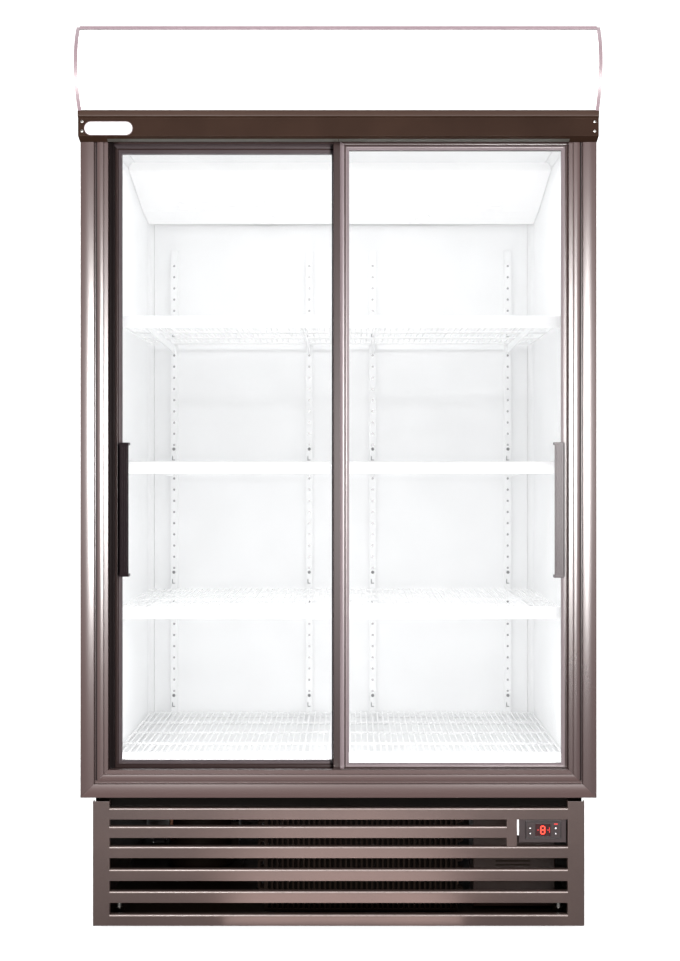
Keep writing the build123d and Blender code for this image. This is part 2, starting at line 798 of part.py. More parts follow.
make_casing()
make_insulation()
make_liner()
make_surround()
make_tracks()
make_fascia()
make_badge()
make_canopy()
make_lamps()
make_pilasters()
make_brackets()
make_shelves()
make_evaporator()
make_doors()
make_base_frame()
make_feet_and_castors()
make_grille()
make_controller()
make_condenser()
make_compressor()
make_power_inlet()
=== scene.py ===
import math
import bmesh
import bpy
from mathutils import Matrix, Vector


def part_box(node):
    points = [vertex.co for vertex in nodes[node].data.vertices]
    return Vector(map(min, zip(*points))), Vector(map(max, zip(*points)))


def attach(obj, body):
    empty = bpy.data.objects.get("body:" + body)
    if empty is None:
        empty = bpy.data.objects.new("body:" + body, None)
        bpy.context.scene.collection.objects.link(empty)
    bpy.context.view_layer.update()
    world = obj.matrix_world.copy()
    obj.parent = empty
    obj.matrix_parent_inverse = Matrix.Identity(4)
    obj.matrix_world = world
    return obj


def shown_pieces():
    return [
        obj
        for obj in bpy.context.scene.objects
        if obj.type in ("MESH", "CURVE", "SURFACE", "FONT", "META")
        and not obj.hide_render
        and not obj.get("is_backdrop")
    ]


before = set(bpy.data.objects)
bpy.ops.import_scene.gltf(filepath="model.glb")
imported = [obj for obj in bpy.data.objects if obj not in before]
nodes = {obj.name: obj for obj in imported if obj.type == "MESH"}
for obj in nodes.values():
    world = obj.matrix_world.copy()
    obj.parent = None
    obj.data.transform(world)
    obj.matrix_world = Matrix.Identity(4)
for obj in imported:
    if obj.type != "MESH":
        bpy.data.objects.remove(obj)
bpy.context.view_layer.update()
mm = 0.001

# --- materials


def put(node, values):
    """Sets a node's inputs. Each value is a number, a vector, a colour or another node's socket."""
    for name, value in values.items():
        if isinstance(value, bpy.types.NodeSocket):
            node.id_data.links.new(value, node.inputs[name])
        else:
            node.inputs[name].default_value = value


def new_node(tree, kind, values):
    n = tree.nodes.new(f"ShaderNode{kind}")
    put(n, values)
    return n


def new_material(name):
    m = bpy.data.materials.new(name)
    m.use_nodes = True
    return m, m.node_tree, m.node_tree.nodes["Principled BSDF"]


def object_place(tree):
    """The object's own coordinates, which are the row frame in metres."""
    return tree.nodes.new("ShaderNodeTexCoord").outputs["Object"]


def noise(tree, scale, stretch=(1, 1, 1), detail=3.0, rough=0.5, offset=(0, 0, 0)):
    squeeze = new_node(tree, "Mapping", {"Vector": object_place(tree), "Scale": stretch, "Location": offset})
    return new_node(tree, "TexNoise", {"Vector": squeeze.outputs["Vector"], "Scale": scale, "Detail": detail,
                                       "Roughness": rough}).outputs["Fac"]


def spread(tree, value, low, high, start=0.3, end=0.7):
    """The pattern's usual range, taken to low..high."""
    return new_node(tree, "MapRange", {"Value": value, "From Min": start, "From Max": end, "To Min": low,
                                       "To Max": high}).outputs["Result"]


def mixed(tree, fac, a, b):
    """Colour a at 0 and colour b at 1."""
    x = tree.nodes.new("ShaderNodeMix")
    x.data_type = "RGBA"
    put(x, {"Factor": fac, **{k: (*c, 1) if isinstance(c, tuple) else c for k, c in (("A", a), ("B", b))}})
    return x.outputs["Result"]


def maths(tree, kind, a, b):
    x = tree.nodes.new("ShaderNodeMath")
    x.operation = kind
    put(x, {0: a, 1: b})
    return x.outputs[0]


def edge_mask(tree, radius):
    """1 along sharp edges and 0 on flat faces, from how far a rounded normal leaves the true one."""
    rounded = new_node(tree, "Bevel", {"Radius": radius})
    rounded.samples = 4
    true = tree.nodes.new("ShaderNodeNewGeometry")
    dot = tree.nodes.new("ShaderNodeVectorMath")
    dot.operation = "DOT_PRODUCT"
    put(dot, {0: rounded.outputs["Normal"], 1: true.outputs["Normal"]})
    return spread(tree, dot.outputs["Value"], 1.0, 0.0, 0.72, 0.995), rounded.outputs["Normal"]


def bump(tree, shader, height, distance, strength, under=None):
    b = new_node(tree, "Bump", {"Height": height, "Strength": strength, "Distance": distance})
    if under is not None:
        put(b, {"Normal": under})
    put(shader, {"Normal": b.outputs["Normal"]})


def coating(name, colour, other, rough, grain=900.0, stretch=(1, 1, 1), depth=0.00006, strength=0.3, ior=1.5,
            metal=0.0, wear=None, patches=9.0, speckle=0.35, coat=0.0, glow=0.0, vary=0.06):
    """A finish with slow tone patches, fine grain in colour, roughness and bump, worn edges and an optional
    painted glow.
    """
    m, tree, shader = new_material(name)
    slow = noise(tree, patches, stretch, 2.0, offset=(3.1, 1.7, 0.4))
    fine = noise(tree, grain, stretch, 2.0, 0.6)
    tone = maths(tree, "ADD", maths(tree, "MULTIPLY", spread(tree, slow, 0, 1), 1 - speckle),
                 maths(tree, "MULTIPLY", spread(tree, fine, 0, 1), speckle))
    base = mixed(tree, tone, colour, other)
    rounded = None
    if wear:
        mask, rounded = edge_mask(tree, 0.0012)
        base = mixed(tree, maths(tree, "MULTIPLY", mask, spread(tree, slow, 0.25, 0.8)), base, wear)
    put(shader, {"Base Color": base, "Roughness": spread(tree, fine, rough - vary, rough + vary), "IOR": ior,
                 "Metallic": metal, "Coat Weight": coat, "Coat Roughness": 0.2})
    bump(tree, shader, fine, depth, strength, rounded)
    # Painted light: the surface gives off its own colour.
    if glow:
        put(shader, {"Emission Color": base, "Emission Strength": glow})
    return m


bronze = (0.062, 0.038, 0.036)
bronze_dark = (0.046, 0.028, 0.027)
UP, ACROSS = (1, 1, 0.2), (0.2, 1, 1)


def bronze_aluminium(name, stretch, rough=0.27, ior=1.9):
    return coating(name, bronze_dark, bronze, rough, 600, stretch, 0.000001, 0.02, ior=ior, patches=2.5,
                   speckle=0.05, vary=0.003)


looks = {
    "bronze_up": bronze_aluminium("bronze_anodised_upright", UP),
    "bronze_across": bronze_aluminium("bronze_anodised_level", ACROSS),
    "bronze_sill": bronze_aluminium("bronze_anodised_sill", ACROSS, 0.36, 1.58),
    # A lighter copy of the anodised bronze: painted highlight on the glazing beads, the left door's top trim and
    # the badge rim.
    "bronze_bead": coating("bronze_bead", (0.12, 0.092, 0.098), (0.15, 0.118, 0.124), 0.3, 1500, UP, 0.000001,
        0.05, ior=1.7, vary=0.015),
    "powder": coating("bronze_powder_coat", (0.028, 0.0175, 0.0155), (0.050, 0.032, 0.028), 0.38, 620,
        depth=0.00016, strength=0.5, ior=1.62, wear=(0.16, 0.125, 0.115), speckle=0.7),
    "fascia": coating("dark_bronze_enamel", (0.016, 0.0075, 0.0045), (0.024, 0.012, 0.0076), 0.5, 700,
        depth=0.00006, strength=0.3, ior=1.16, wear=(0.10, 0.07, 0.056)),
    # Lighter than the fascia's own enamel: painted highlight along the top lip.
    "lip": coating("fascia_lip_enamel", (0.031, 0.017, 0.012), (0.040, 0.023, 0.017), 0.42, 700, ACROSS,
        0.00003, 0.2, ior=1.25),
    # Near black standing in for shade in recesses: painted shadow on the left jamb filler, the doors' shadow
    # lines and the surround's grooves.
    "shadow": coating("black_bronze_filler", (0.009, 0.0055, 0.0056), (0.014, 0.009, 0.0093), 0.42, 900, UP,
        0.00001, 0.2, ior=1.25, wear=(0.04, 0.029, 0.03)),
    # Lighter than the grille's powder coat: painted highlight on the slats' top edges.
    "hem": coating("bright_bronze_hem", (0.15, 0.12, 0.11), (0.235, 0.19, 0.178), 0.3, 500, ACROSS, 0.00002,
        0.2, ior=1.7),
    "trim": coating("mauve_trim", (0.185, 0.135, 0.155), (0.25, 0.19, 0.21), 0.34, 500, ACROSS, 0.00002, 0.2,
        ior=1.7),
    # A light mauve copy of the anodised bronze: painted highlight on the centre stile's rib.
    "mauve_rib": coating("mauve_rib", (0.26, 0.2, 0.215), (0.32, 0.26, 0.275), 0.32, 600, UP, 0.000001, 0.02,
        ior=1.7, vary=0.01),
    # The liner, cover, wires and price strips give off a little light of their own: painted glow.
    "liner": coating("white_enamel", (0.84, 0.845, 0.85), (0.80, 0.805, 0.81), 0.38, 260, depth=0.00005,
        strength=0.12, wear=(0.9, 0.9, 0.9), speckle=0.2, glow=0.15),
    "cover": coating("white_cover_enamel", (0.85, 0.85, 0.85), (0.82, 0.82, 0.825), 0.4, 260, depth=0.00005,
        strength=0.1, speckle=0.2, glow=0.30),
    "wire": coating("white_dipped_wire", (0.86, 0.86, 0.86), (0.78, 0.785, 0.79), 0.34, 420, depth=0.0001,
        strength=0.2, speckle=0.3, coat=0.15, glow=0.15),
    "strip": coating("white_strip", (0.88, 0.88, 0.885), (0.83, 0.835, 0.845), 0.36, 700, depth=0.00003,
        strength=0.2, wear=(0.93, 0.93, 0.93), speckle=0.2, glow=0.42),
    # Grey-green on the fascia's slanted underside: painted reflection of light from below.
    "drip": coating("grey_drip_rail", (0.040, 0.039, 0.033), (0.054, 0.052, 0.045), 0.42, 600, ACROSS, 0.00003,
        0.3),
    "moulding": coating("brown_moulding", (0.022, 0.015, 0.0155), (0.036, 0.025, 0.026), 0.42, 1400,
        depth=0.00005, strength=0.4, wear=(0.08, 0.062, 0.06)),
    "plastic": coating("white_plastic", (0.87, 0.87, 0.88), (0.81, 0.815, 0.83), 0.4, 800, depth=0.00003,
        strength=0.2, wear=(0.93, 0.93, 0.93)),
    "dark": coating("black_enamel", (0.016, 0.0105, 0.008), (0.030, 0.021, 0.0165), 0.5, 500, depth=0.0001,
        strength=0.4, ior=1.35, wear=(0.075, 0.06, 0.052)),
    "black": coating("black_moulding", (0.014, 0.012, 0.013), (0.026, 0.023, 0.024), 0.42, 1400, depth=0.00005,
        strength=0.45, wear=(0.06, 0.056, 0.055)),
    "rubber": coating("black_rubber", (0.012, 0.010, 0.012), (0.026, 0.021, 0.024), 0.62, 700, depth=0.00005,
        strength=0.4),
    "seal": coating("grey_seal", (0.10, 0.08, 0.086), (0.15, 0.122, 0.13), 0.5, 700, UP, 0.00004, 0.3),
    "nylon": coating("grey_nylon", (0.24, 0.24, 0.25), (0.34, 0.34, 0.35), 0.42, 900, depth=0.00004,
        strength=0.3, wear=(0.5, 0.5, 0.5)),
    "handle": coating("dark_textured_handle", (0.009, 0.004, 0.006), (0.030, 0.019, 0.023), 0.34, 480,
        depth=0.0002, strength=0.6, ior=1.42, wear=(0.12, 0.09, 0.095), speckle=0.85),
    "fan": coating("fan_moulding", (0.03, 0.03, 0.032), (0.055, 0.055, 0.058), 0.38, 900, depth=0.00004,
        strength=0.3, wear=(0.12, 0.12, 0.12)),
    "zinc": coating("zinc_plate", (0.46, 0.45, 0.43), (0.62, 0.61, 0.58), 0.33, 800, depth=0.00003,
        strength=0.25, metal=1.0, wear=(0.75, 0.74, 0.72)),
    "fins": coating("aluminium_fins", (0.55, 0.56, 0.57), (0.72, 0.73, 0.74), 0.3, 500, UP, 0.00004, 0.3,
        metal=1.0),
    "copper": coating("copper_pipe", (0.62, 0.27, 0.15), (0.78, 0.40, 0.25), 0.3, 300, depth=0.00004,
        strength=0.3, metal=1.0, patches=30),
    "foam": coating("cream_foam", (0.72, 0.62, 0.42), (0.82, 0.73, 0.54), 0.85, 500, depth=0.0004,
        strength=0.6),
}


def galvanised():
    """Zinc spangle: angular crystals that differ in tone and gloss."""
    m, tree, shader = new_material("galvanised_sheet")
    cells = new_node(tree, "TexVoronoi", {"Vector": object_place(tree), "Scale": 70})
    crystal = new_node(tree, "SeparateColor", {"Color": cells.outputs["Color"]}).outputs["Red"]
    tone = maths(tree, "ADD", maths(tree, "MULTIPLY", crystal, 0.7), maths(tree, "MULTIPLY", noise(tree, 6), 0.3))
    put(shader, {"Base Color": mixed(tree, tone, (0.40, 0.41, 0.42), (0.56, 0.57, 0.58)), "Metallic": 0.8,
                 "Roughness": spread(tree, crystal, 0.34, 0.52, 0, 1)})
    bump(tree, shader, crystal, 0.00005, 0.25)
    return m


def glass():
    """Clear pane: nearly all light passes, and it turns greener and more mirror-like at a slant."""
    m, tree, shader = new_material("clear_glass")
    slant = new_node(tree, "LayerWeight", {"Blend": 0.12}).outputs["Facing"]
    cloud = noise(tree, 3)
    put(shader, {"Base Color": mixed(tree, cloud, (0.02, 0.04, 0.035), (0.05, 0.07, 0.065)), "IOR": 1.45,
                 "Roughness": spread(tree, cloud, 0.02, 0.05),
                 "Alpha": spread(tree, slant, 0.012, 0.5, 0.3, 1.0)})
    return m


def lit(name, colour, strength, shade):
    """A translucent diffuser with a soft unevenness."""
    m, tree, shader = new_material(name)
    cloud = noise(tree, 4)
    base = mixed(tree, cloud, colour, shade)
    put(shader, {"Base Color": base, "Roughness": spread(tree, cloud, 0.3, 0.36), "Emission Color": base,
                 "Emission Strength": strength})
    return m


looks["galvanised"] = galvanised()
looks["glass"] = glass()
looks["sign"] = lit("sign_diffuser", (1.0, 1.0, 1.0), 0.75, (0.97, 0.975, 0.985))
looks["lamp"] = lit("lamp_tube_glass", (1.0, 1.0, 0.99), 1.6, (0.96, 0.98, 1.0))
looks["segment"] = lit("red_segment", (1.0, 0.055, 0.03), 3.0, (1.0, 0.035, 0.02))
looks["segment_dim"] = lit("dim_red_segment", (0.55, 0.035, 0.03), 0.45, (0.45, 0.02, 0.02))
# The button marks give off a little light of their own: painted glow.
looks["mark"] = lit("white_mark", (0.9, 0.88, 0.9), 0.12, (0.8, 0.78, 0.8))
looks["lens"] = coating("smoked_red_lens", (0.022, 0.006, 0.007), (0.040, 0.010, 0.011), 0.18, 300,
    depth=0.00001, strength=0.1, coat=0.5)

by_slot = {
    "bronze_steel": "powder", "dark_bronze_steel": "fascia", "white_steel": "liner", "white_wire": "wire",
    "galvanised": "galvanised", "black_steel": "dark", "foam": "foam", "white_plastic": "plastic",
    "sign_acrylic": "sign", "lamp_glass": "lamp", "clear_glass": "glass", "black_plastic": "black",
    "display_lens": "lens", "grey_nylon": "nylon", "fan_plastic": "fan", "coil_fins": "fins",
    "zinc_steel": "zinc", "door_seal": "seal", "bronze_aluminium": "bronze_up",
}
level_nodes = ("surround_bottom", "top_track", "bottom_track")
by_node = {"sign_trim": "trim", "price_strips": "strip", "controller_housing": "moulding",
           "evaporator_cover": "cover", "surround_bottom": "bronze_sill", "bottom_track": "bronze_sill"}
for name, node in nodes.items():
    for place in node.material_slots:
        look = by_slot[place.material.name.split(".")[0]]
        if name in level_nodes:
            look = "bronze_across"
        if name.endswith("_handle"):
            look = "handle"
        look = by_node.get(name, look)
        place.material = looks[look]

# --- mesh tools, all in millimetres


def box(name):
    """A CAD node's low and high corners."""
    low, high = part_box(name)
    return low / mm, high / mm


def spaced(start, end, count):
    """count places from start to end, both included."""
    return [start + step * (end - start) / (count - 1) for step in range(count)]


def middles(start, end, count):
    """The middles of count equal steps from start to end."""
    return [start + (end - start) * (step + 0.5) / count for step in range(count)]


def polygon(radius, count=6):
    return [(radius * math.cos(2 * math.pi * k / count), radius * math.sin(2 * math.pi * k / count))
            for k in range(count)]


def around(centre, axis, steps):
    """A function that takes a radius, a height along the axis and a step of the turn to a place."""
    turn = Vector((0, 0, 1)).rotation_difference(Vector(axis)).to_matrix()
    place = Vector(centre)

    def at(radius, height, step):
        a = 2 * math.pi * step / steps
        return place + turn @ Vector((radius * math.cos(a), radius * math.sin(a), height))
    return at


def rounded_path(points, radius):
    """The same run with each corner cut by a short arc."""
    pts = [Vector(p) for p in points]
    path = [pts[0]]
    for a, b, c in zip(pts, pts[1:], pts[2:]):
        reach = min(radius, (b - a).length * 0.45, (c - b).length * 0.45)
        start, end = b + (a - b).normalized() * reach, b + (c - b).normalized() * reach
        for t in (0.0, 0.25, 0.5, 0.75, 1.0):
            path.append((1 - t) ** 2 * start + 2 * t * (1 - t) * b + t * t * end)
    path.append(pts[-1])
    return path


class Piece:
    """Gathers shapes into one mesh."""

    def __init__(self):
        self.bm = bmesh.new()

    def points(self, places):
        return [self.bm.verts.new([c * mm for c in p]) for p in places]

    def faces(self, places, faces):
        made = self.points(places)
        for f in faces:
            self.bm.faces.new([made[i] for i in f])

    def block(self, low, high):
        p = [(x, y, z) for x in (low[0], high[0]) for y in (low[1], high[1]) for z in (low[2], high[2])]
        self.faces(p, [(0, 1, 3, 2), (4, 6, 7, 5), (0, 4, 5, 1), (2, 3, 7, 6), (0, 2, 6, 4), (1, 5, 7, 3)])

    def sweep(self, rings, closed=False):
        """Joins rings of equal count into a skin, with caps at the ends unless it closes on itself."""
        made = [self.points(ring) for ring in rings]
        count = len(rings[0])
        pairs = list(zip(made, made[1:])) + ([(made[-1], made[0])] if closed else [])
        for a, b in pairs:
            for i in range(count):
                j = (i + 1) % count
                self.bm.faces.new((a[i], a[j], b[j], b[i]))
        if not closed:
            self.bm.faces.new(made[0])
            self.bm.faces.new(made[-1][::-1])

    def along_x(self, outline, x0, x1, at=(0, 0)):
        """A bar from x0 to x1 whose section is a (y, z) outline set down at a (y, z) place."""
        self.sweep([[(x, at[0] + y, at[1] + z) for y, z in outline] for x in (x0, x1)])

    def along_y(self, outline, y0, y1, at=(0, 0)):
        self.sweep([[(at[0] + x, y, at[1] + z) for x, z in outline] for y in (y0, y1)])

    def along_z(self, outline, z0, z1, at=(0, 0)):
        self.sweep([[(at[0] + x, at[1] + y, z) for x, y in outline] for z in (z0, z1)])

    def lathe(self, profile, centre, axis, steps=28):
        """Turns (radius, along) points about an axis through centre; the first and last lie on the axis."""
        at = around(centre, axis, steps)
        made = [self.points([at(r, h, i) for i in range(steps)]) for r, h in profile if r > 0]
        for a, b in zip(made, made[1:]):
            for i in range(steps):
                j = (i + 1) % steps
                self.bm.faces.new((a[i], a[j], b[j], b[i]))
        for ring, (r, h) in ((made[0], profile[0]), (made[-1], profile[-1])):
            if r == 0:
                tip = self.points([at(0, h, 0)])[0]
                for i in range(steps):
                    self.bm.faces.new((ring[i], ring[(i + 1) % steps], tip))

    def disc(self, radius, height, centre, axis, steps):
        """A thin round button, set slightly into the face it is on."""
        self.lathe([(0, height), (radius, height), (radius, -0.2), (0, -0.2)], centre, axis, steps)

    def band(self, profile, centre, axis, steps):
        """Turns a closed (radius, along) outline into a ring."""
        at = around(centre, axis, steps)
        self.sweep([[at(r, h, i) for r, h in profile] for i in range(steps)], closed=True)

    def ring(self, inner, outer, low, high, centre, axis, steps):
        """A ring of square section."""
        self.band([(inner, low), (inner, high), (outer, high), (outer, low)], centre, axis, steps)

    def rim(self, low, high, outline, front, out):
        """A mitred ring round an XZ rectangle, from (outward, raised) points. out is -1 towards the front."""
        (a, b), (c, d) = low, high
        corners = (a, b, -1, -1), (c, b, 1, -1), (c, d, 1, 1), (a, d, -1, 1)
        self.sweep([[(x + sx * u, front + out * v, z + sz * u) for u, v in outline] for x, z, sx, sz in corners],
                   closed=True)

    def pipe(self, points, radius, steps, bend):
        """A round pipe through points, with its corners turned on arcs."""
        path = rounded_path(points, radius * bend)
        rings = []
        side = None
        for i, p in enumerate(path):
            way = (path[min(i + 1, len(path) - 1)] - path[max(i - 1, 0)]).normalized()
            if side is None:
                side = way.orthogonal().normalized()
            side = (side - way * side.dot(way)).normalized()
            up = way.cross(side)
            rings.append([p + u * side + v * up for u, v in polygon(radius, steps)])
        self.sweep(rings)

    def hairpin(self, x, side, reach, first, second, radius, steps, bend):
        """A return bend on a coil's end face, between two (y, z) places."""
        inner, outer = x - side * 2, x + side * reach
        self.pipe([(inner, *first), (outer, *first), (outer, *second), (inner, *second)], radius, steps, bend)

    def screw(self, place, out, radius, height):
        """A domed head."""
        self.lathe([(0, height), (radius * 0.45, height * 0.93), (radius * 0.8, height * 0.62),
                    (radius, height * 0.18), (radius, -0.2), (0, -0.2)], place, out, 20)

    def cross(self, place, out, radius=2.6):
        """Painted shade for a screw head's cross recess: a thin dark cross just on top of the head."""
        along, across = Vector((0, 1, 0) if out[0] else (1, 0, 0)), Vector((0, 0, 1))
        for a, b in ((along * radius, across * radius), (across * radius, along * radius)):
            corners = (-0.55, -0.14), (0.55, -0.14), (0.55, 0.14), (-0.55, 0.14)
            flat = [place + a * s + b * t for s, t in corners]
            self.sweep([flat, [p + Vector(out) * 0.12 for p in flat]])

    def done(self, name, look, slot=None, body="cabinet", bevel=0.0, angle=35.0):
        bm = self.bm
        bmesh.ops.recalc_face_normals(bm, faces=bm.faces)
        mesh = bpy.data.meshes.new(name)
        bm.to_mesh(mesh)
        bm.free()
        o = bpy.data.objects.new(name, mesh)
        bpy.context.scene.collection.objects.link(o)
        mesh.materials.append(looks[look])
        mesh.shade_smooth()
        mesh.set_sharp_from_angle(angle=math.radians(angle))
        if bevel:
            b = o.modifiers.new("edges", "BEVEL")
            b.width = bevel * mm
            b.segments = 2
            b.limit_method = "ANGLE"
            b.angle_limit = math.radians(40)
            b.harden_normals = True
        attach(o, body)


def crossed_screws(name, recess_shade_name, places, radius=3.4, height=1.3):
    """Screw heads at (place, out) pairs, and their cross recesses, painted dark as shade, as a piece of its own.
    """
    heads, marks = Piece(), Piece()
    for place, out in places:
        heads.screw(place, out, radius, height)
        marks.cross(Vector(place) + Vector(out) * (height - 0.05), out)
    heads.done(name, "zinc", "zinc_steel")
    # The crosses are painted shade of the recesses.
    marks.done(recess_shade_name, "rubber")


def frame_bars(opening, front, outline, gap=0.15):
    """Four mitred bars round an XZ opening: left, right, bottom, top. outline is (outward, forward) points."""
    (x0, z0), (x1, z1) = opening
    bars = []
    for edge, sign, ends, level in ((x0, -1, (z0, z1), False), (x1, 1, (z0, z1), False),
                                    (z0, -1, (x0, x1), True), (z1, 1, (x0, x1), True)):
        rings = []
        for end, way in zip(ends, (-1, 1)):
            ring = []
            for u, v in outline:
                side, reach = edge + sign * u, end + way * (u - gap if u > gap else u)
                ring.append((reach, front - v, side) if level else (side, front - v, reach))
            rings.append(ring)
        bar = Piece()
        bar.sweep(rings)
        bars.append(bar)
    return bars


# --- camera

camera = bpy.data.cameras.new("camera")
camera.lens = 40.77
camera.sensor_width = 36
camera.shift_x = -11 / 961
camera.shift_y = -6.5 / 961
eye = bpy.data.objects.new("camera", camera)
eye.location = (0.0276, -2.6975, 1.017)
eye.rotation_euler = (math.radians(90), 0, 0)
bpy.context.scene.collection.objects.link(eye)
bpy.context.scene.camera = eye

# --- doors

POCKET = 8  # how far the panes reach behind the frame's inner edge
PLACES = ("left", "right", "bottom", "top")
crown = [(8.2 + 8.4 * step / 6, 0.9 + 0.55 * math.sin(math.pi * step / 6)) for step in range(7)]
trim_profile = [(8.0, 0.05), *crown, (16.9, 0.3), (17.4, 0.05)]
slim_profile = [(6.6, 0.05), (7.0, 1.0), (8.8, 1.45), (10.8, 1.1), (11.4, 0.05)]
line_profile = [(12.4, 0.02), (12.4, 0.22), (15.4, 0.22), (15.4, 0.02)]
bead_profile = [(1.1, 0.02), (1.4, 0.6), (2.6, 0.95), (4.0, 0.8), (4.6, 0.05)]
gasket_profile = [(-0.9, -2.1), (-0.8, -0.4), (-0.3, 0.3), (0.9, 0.3), (0.9, 0.02), (-0.2, 0.02), (-0.2, -2.1)]


def dress_door(side):
    """Trims, a shadow line of painted shade, glazing beads and a gasket on one door's frame."""
    door = f"{side}_door"
    low, high = box(f"{door}_glass")
    front = box(f"{door}_frame")[0].y
    opening = ((low.x + POCKET, low.z + POCKET), (high.x - POCKET, high.z - POCKET))
    wide, slim, line = [frame_bars(opening, front, p) for p in (trim_profile, slim_profile, line_profile)]
    # Painted highlight: the right door's left trim and the left door's top trim take lighter copies of the
    # bronze.
    own_look = {("right", "left"): "mauve_rib", ("left", "top"): "bronze_bead"}
    for number, place in enumerate(PLACES):
        look = "bronze_up" if place in ("left", "right") else "bronze_across"
        bar = slim[number] if place == side else wide[number]
        bar.done(f"{door}_trim_{place}", own_look.get((side, place), look), "bronze_aluminium", door)
    # A near-black strip on the outer stile: painted shadow of a groove.
    line[PLACES.index(side)].done(f"{door}_shadow_line", "shadow", "bronze_aluminium", door)
    # The beads' lighter bronze is a painted highlight.
    for part, profile, gap, look, slot in (("bead", bead_profile, 0.05, "bronze_bead", "bronze_aluminium"),
                                           ("gasket", gasket_profile, 0.0, "seal", "door_seal")):
        for place, bar in zip(PLACES, frame_bars(opening, front, profile, gap)):
            bar.done(f"{door}_{part}_{place}", look, slot, door)


def dress_handle(side):
    """Three raised lines down the pull's face."""
    low, high = box(f"{side}_door_handle")
    front = low.y + 0.6
    edge, inward = (low.x + 5, 1) if side == "left" else (high.x - 5, -1)
    p = Piece()
    for step in range(3):
        x = edge + inward * (7 + step * 5)
        p.block((x - 0.5, front - 0.35, low.z + 10), (x + 0.5, front + 0.2, high.z - 10))
    p.done(f"{side}_handle_ribs", "handle", "bronze_steel", f"{side}_door", bevel=0.15)


for side in ("left", "right"):
    dress_door(side)
for side in ("left", "right"):
    dress_handle(side)

# --- jambs, tracks and seals


def jamb_channels():
    """A filler in the unused runway on the left, coloured near black as painted shade, a slim channel on the
    right, and a brush.
    """
    liner_low, liner_high = box("inner_liner")
    front = box("bottom_track")[0].y
    low, high = box("bottom_track")[1].z + 0.6, box("top_track")[0].z + 10.6
    wall = liner_low.x + 1.6
    reach = box("left_door_handle")[0].x - wall - 2.5
    filler = [(0.0, 0.0), (reach - 9.5, 0.0), (reach - 9.0, -0.9), (reach - 7.5, -0.9), (reach - 7.0, 0.0),
              (reach, 0.0), (reach, 1.4), (1.4, 1.4), (1.4, 30.4), (reach - 6, 30.4), (reach - 6, 31.8),
              (0.0, 31.8)]
    p = Piece()
    p.along_z(filler, low, high, (wall, front))
    # The filler's near black is painted shade of the recessed runway.
    p.done("left_jamb_channel", "shadow", "bronze_aluminium", bevel=0.3)
    p = Piece()
    slim = [(0.0, 32.6), (-1.4, 32.6), (-1.4, 58.0), (-9.0, 58.0), (-9.0, 59.4), (0.0, 59.4)]
    p.along_z(slim, low, high, (liner_high.x - 1.6, front))
    p.done("right_jamb_channel", "bronze_up", "bronze_aluminium", bevel=0.3)

    p = Piece()
    edge = wall + reach
    p.block((edge - 6, front + 1.5, low), (edge - 1, front + 3.4, high))
    for z in middles(low, high, 90):
        p.block((edge - 5, front + 3.2, z - 7.2), (edge - 3, front + 7.5, z + 7.2))
    p.done("left_jamb_brush", "rubber", bevel=0.2)


def door_stops():
    """Rubber buffers on the jambs that the doors close against."""
    liner_low, liner_high = box("inner_liner")
    for side, wall, sign in (("left", liner_low.x + 1.2, 1), ("right", liner_high.x - 1.2, -1)):
        low, high = box(f"{side}_door_frame")
        reach = abs((low.x if side == "left" else high.x) - wall) - 0.3
        p = Piece()
        for z in (low.z + 120, high.z - 120):
            p.lathe([(0, reach), (2.0, reach), (3.2, reach * 0.8), (4.4, reach * 0.2), (4.4, 0), (0, 0)],
                    (wall, (low.y + high.y) / 2 + 3, z), (sign, 0, 0), 20)
        p.done(f"{side}_door_stops", "rubber")


def meeting_brush():
    """A brush strip behind the front door's meeting stile, closing the gap to the rear door."""
    low, high = box("right_door_frame")
    rear_door = box("left_door_frame")[0].y
    x0, x1 = low.x + 6, low.x + 12
    p = Piece()
    p.block((x0, high.y + 0.05, low.z + 14), (x1, high.y + 1.4, high.z - 14))
    for z in middles(low.z + 15, high.z - 15, 150):
        p.block((x0 + 1.6, high.y + 1.3, z - 4.2), (x1 - 1.6, rear_door - 1.5, z + 4.2))
    p.done("meeting_brush", "rubber", body="right_door", bevel=0.2)


jamb_channels()
door_stops()
meeting_brush()

# --- fascia, badge and canopy


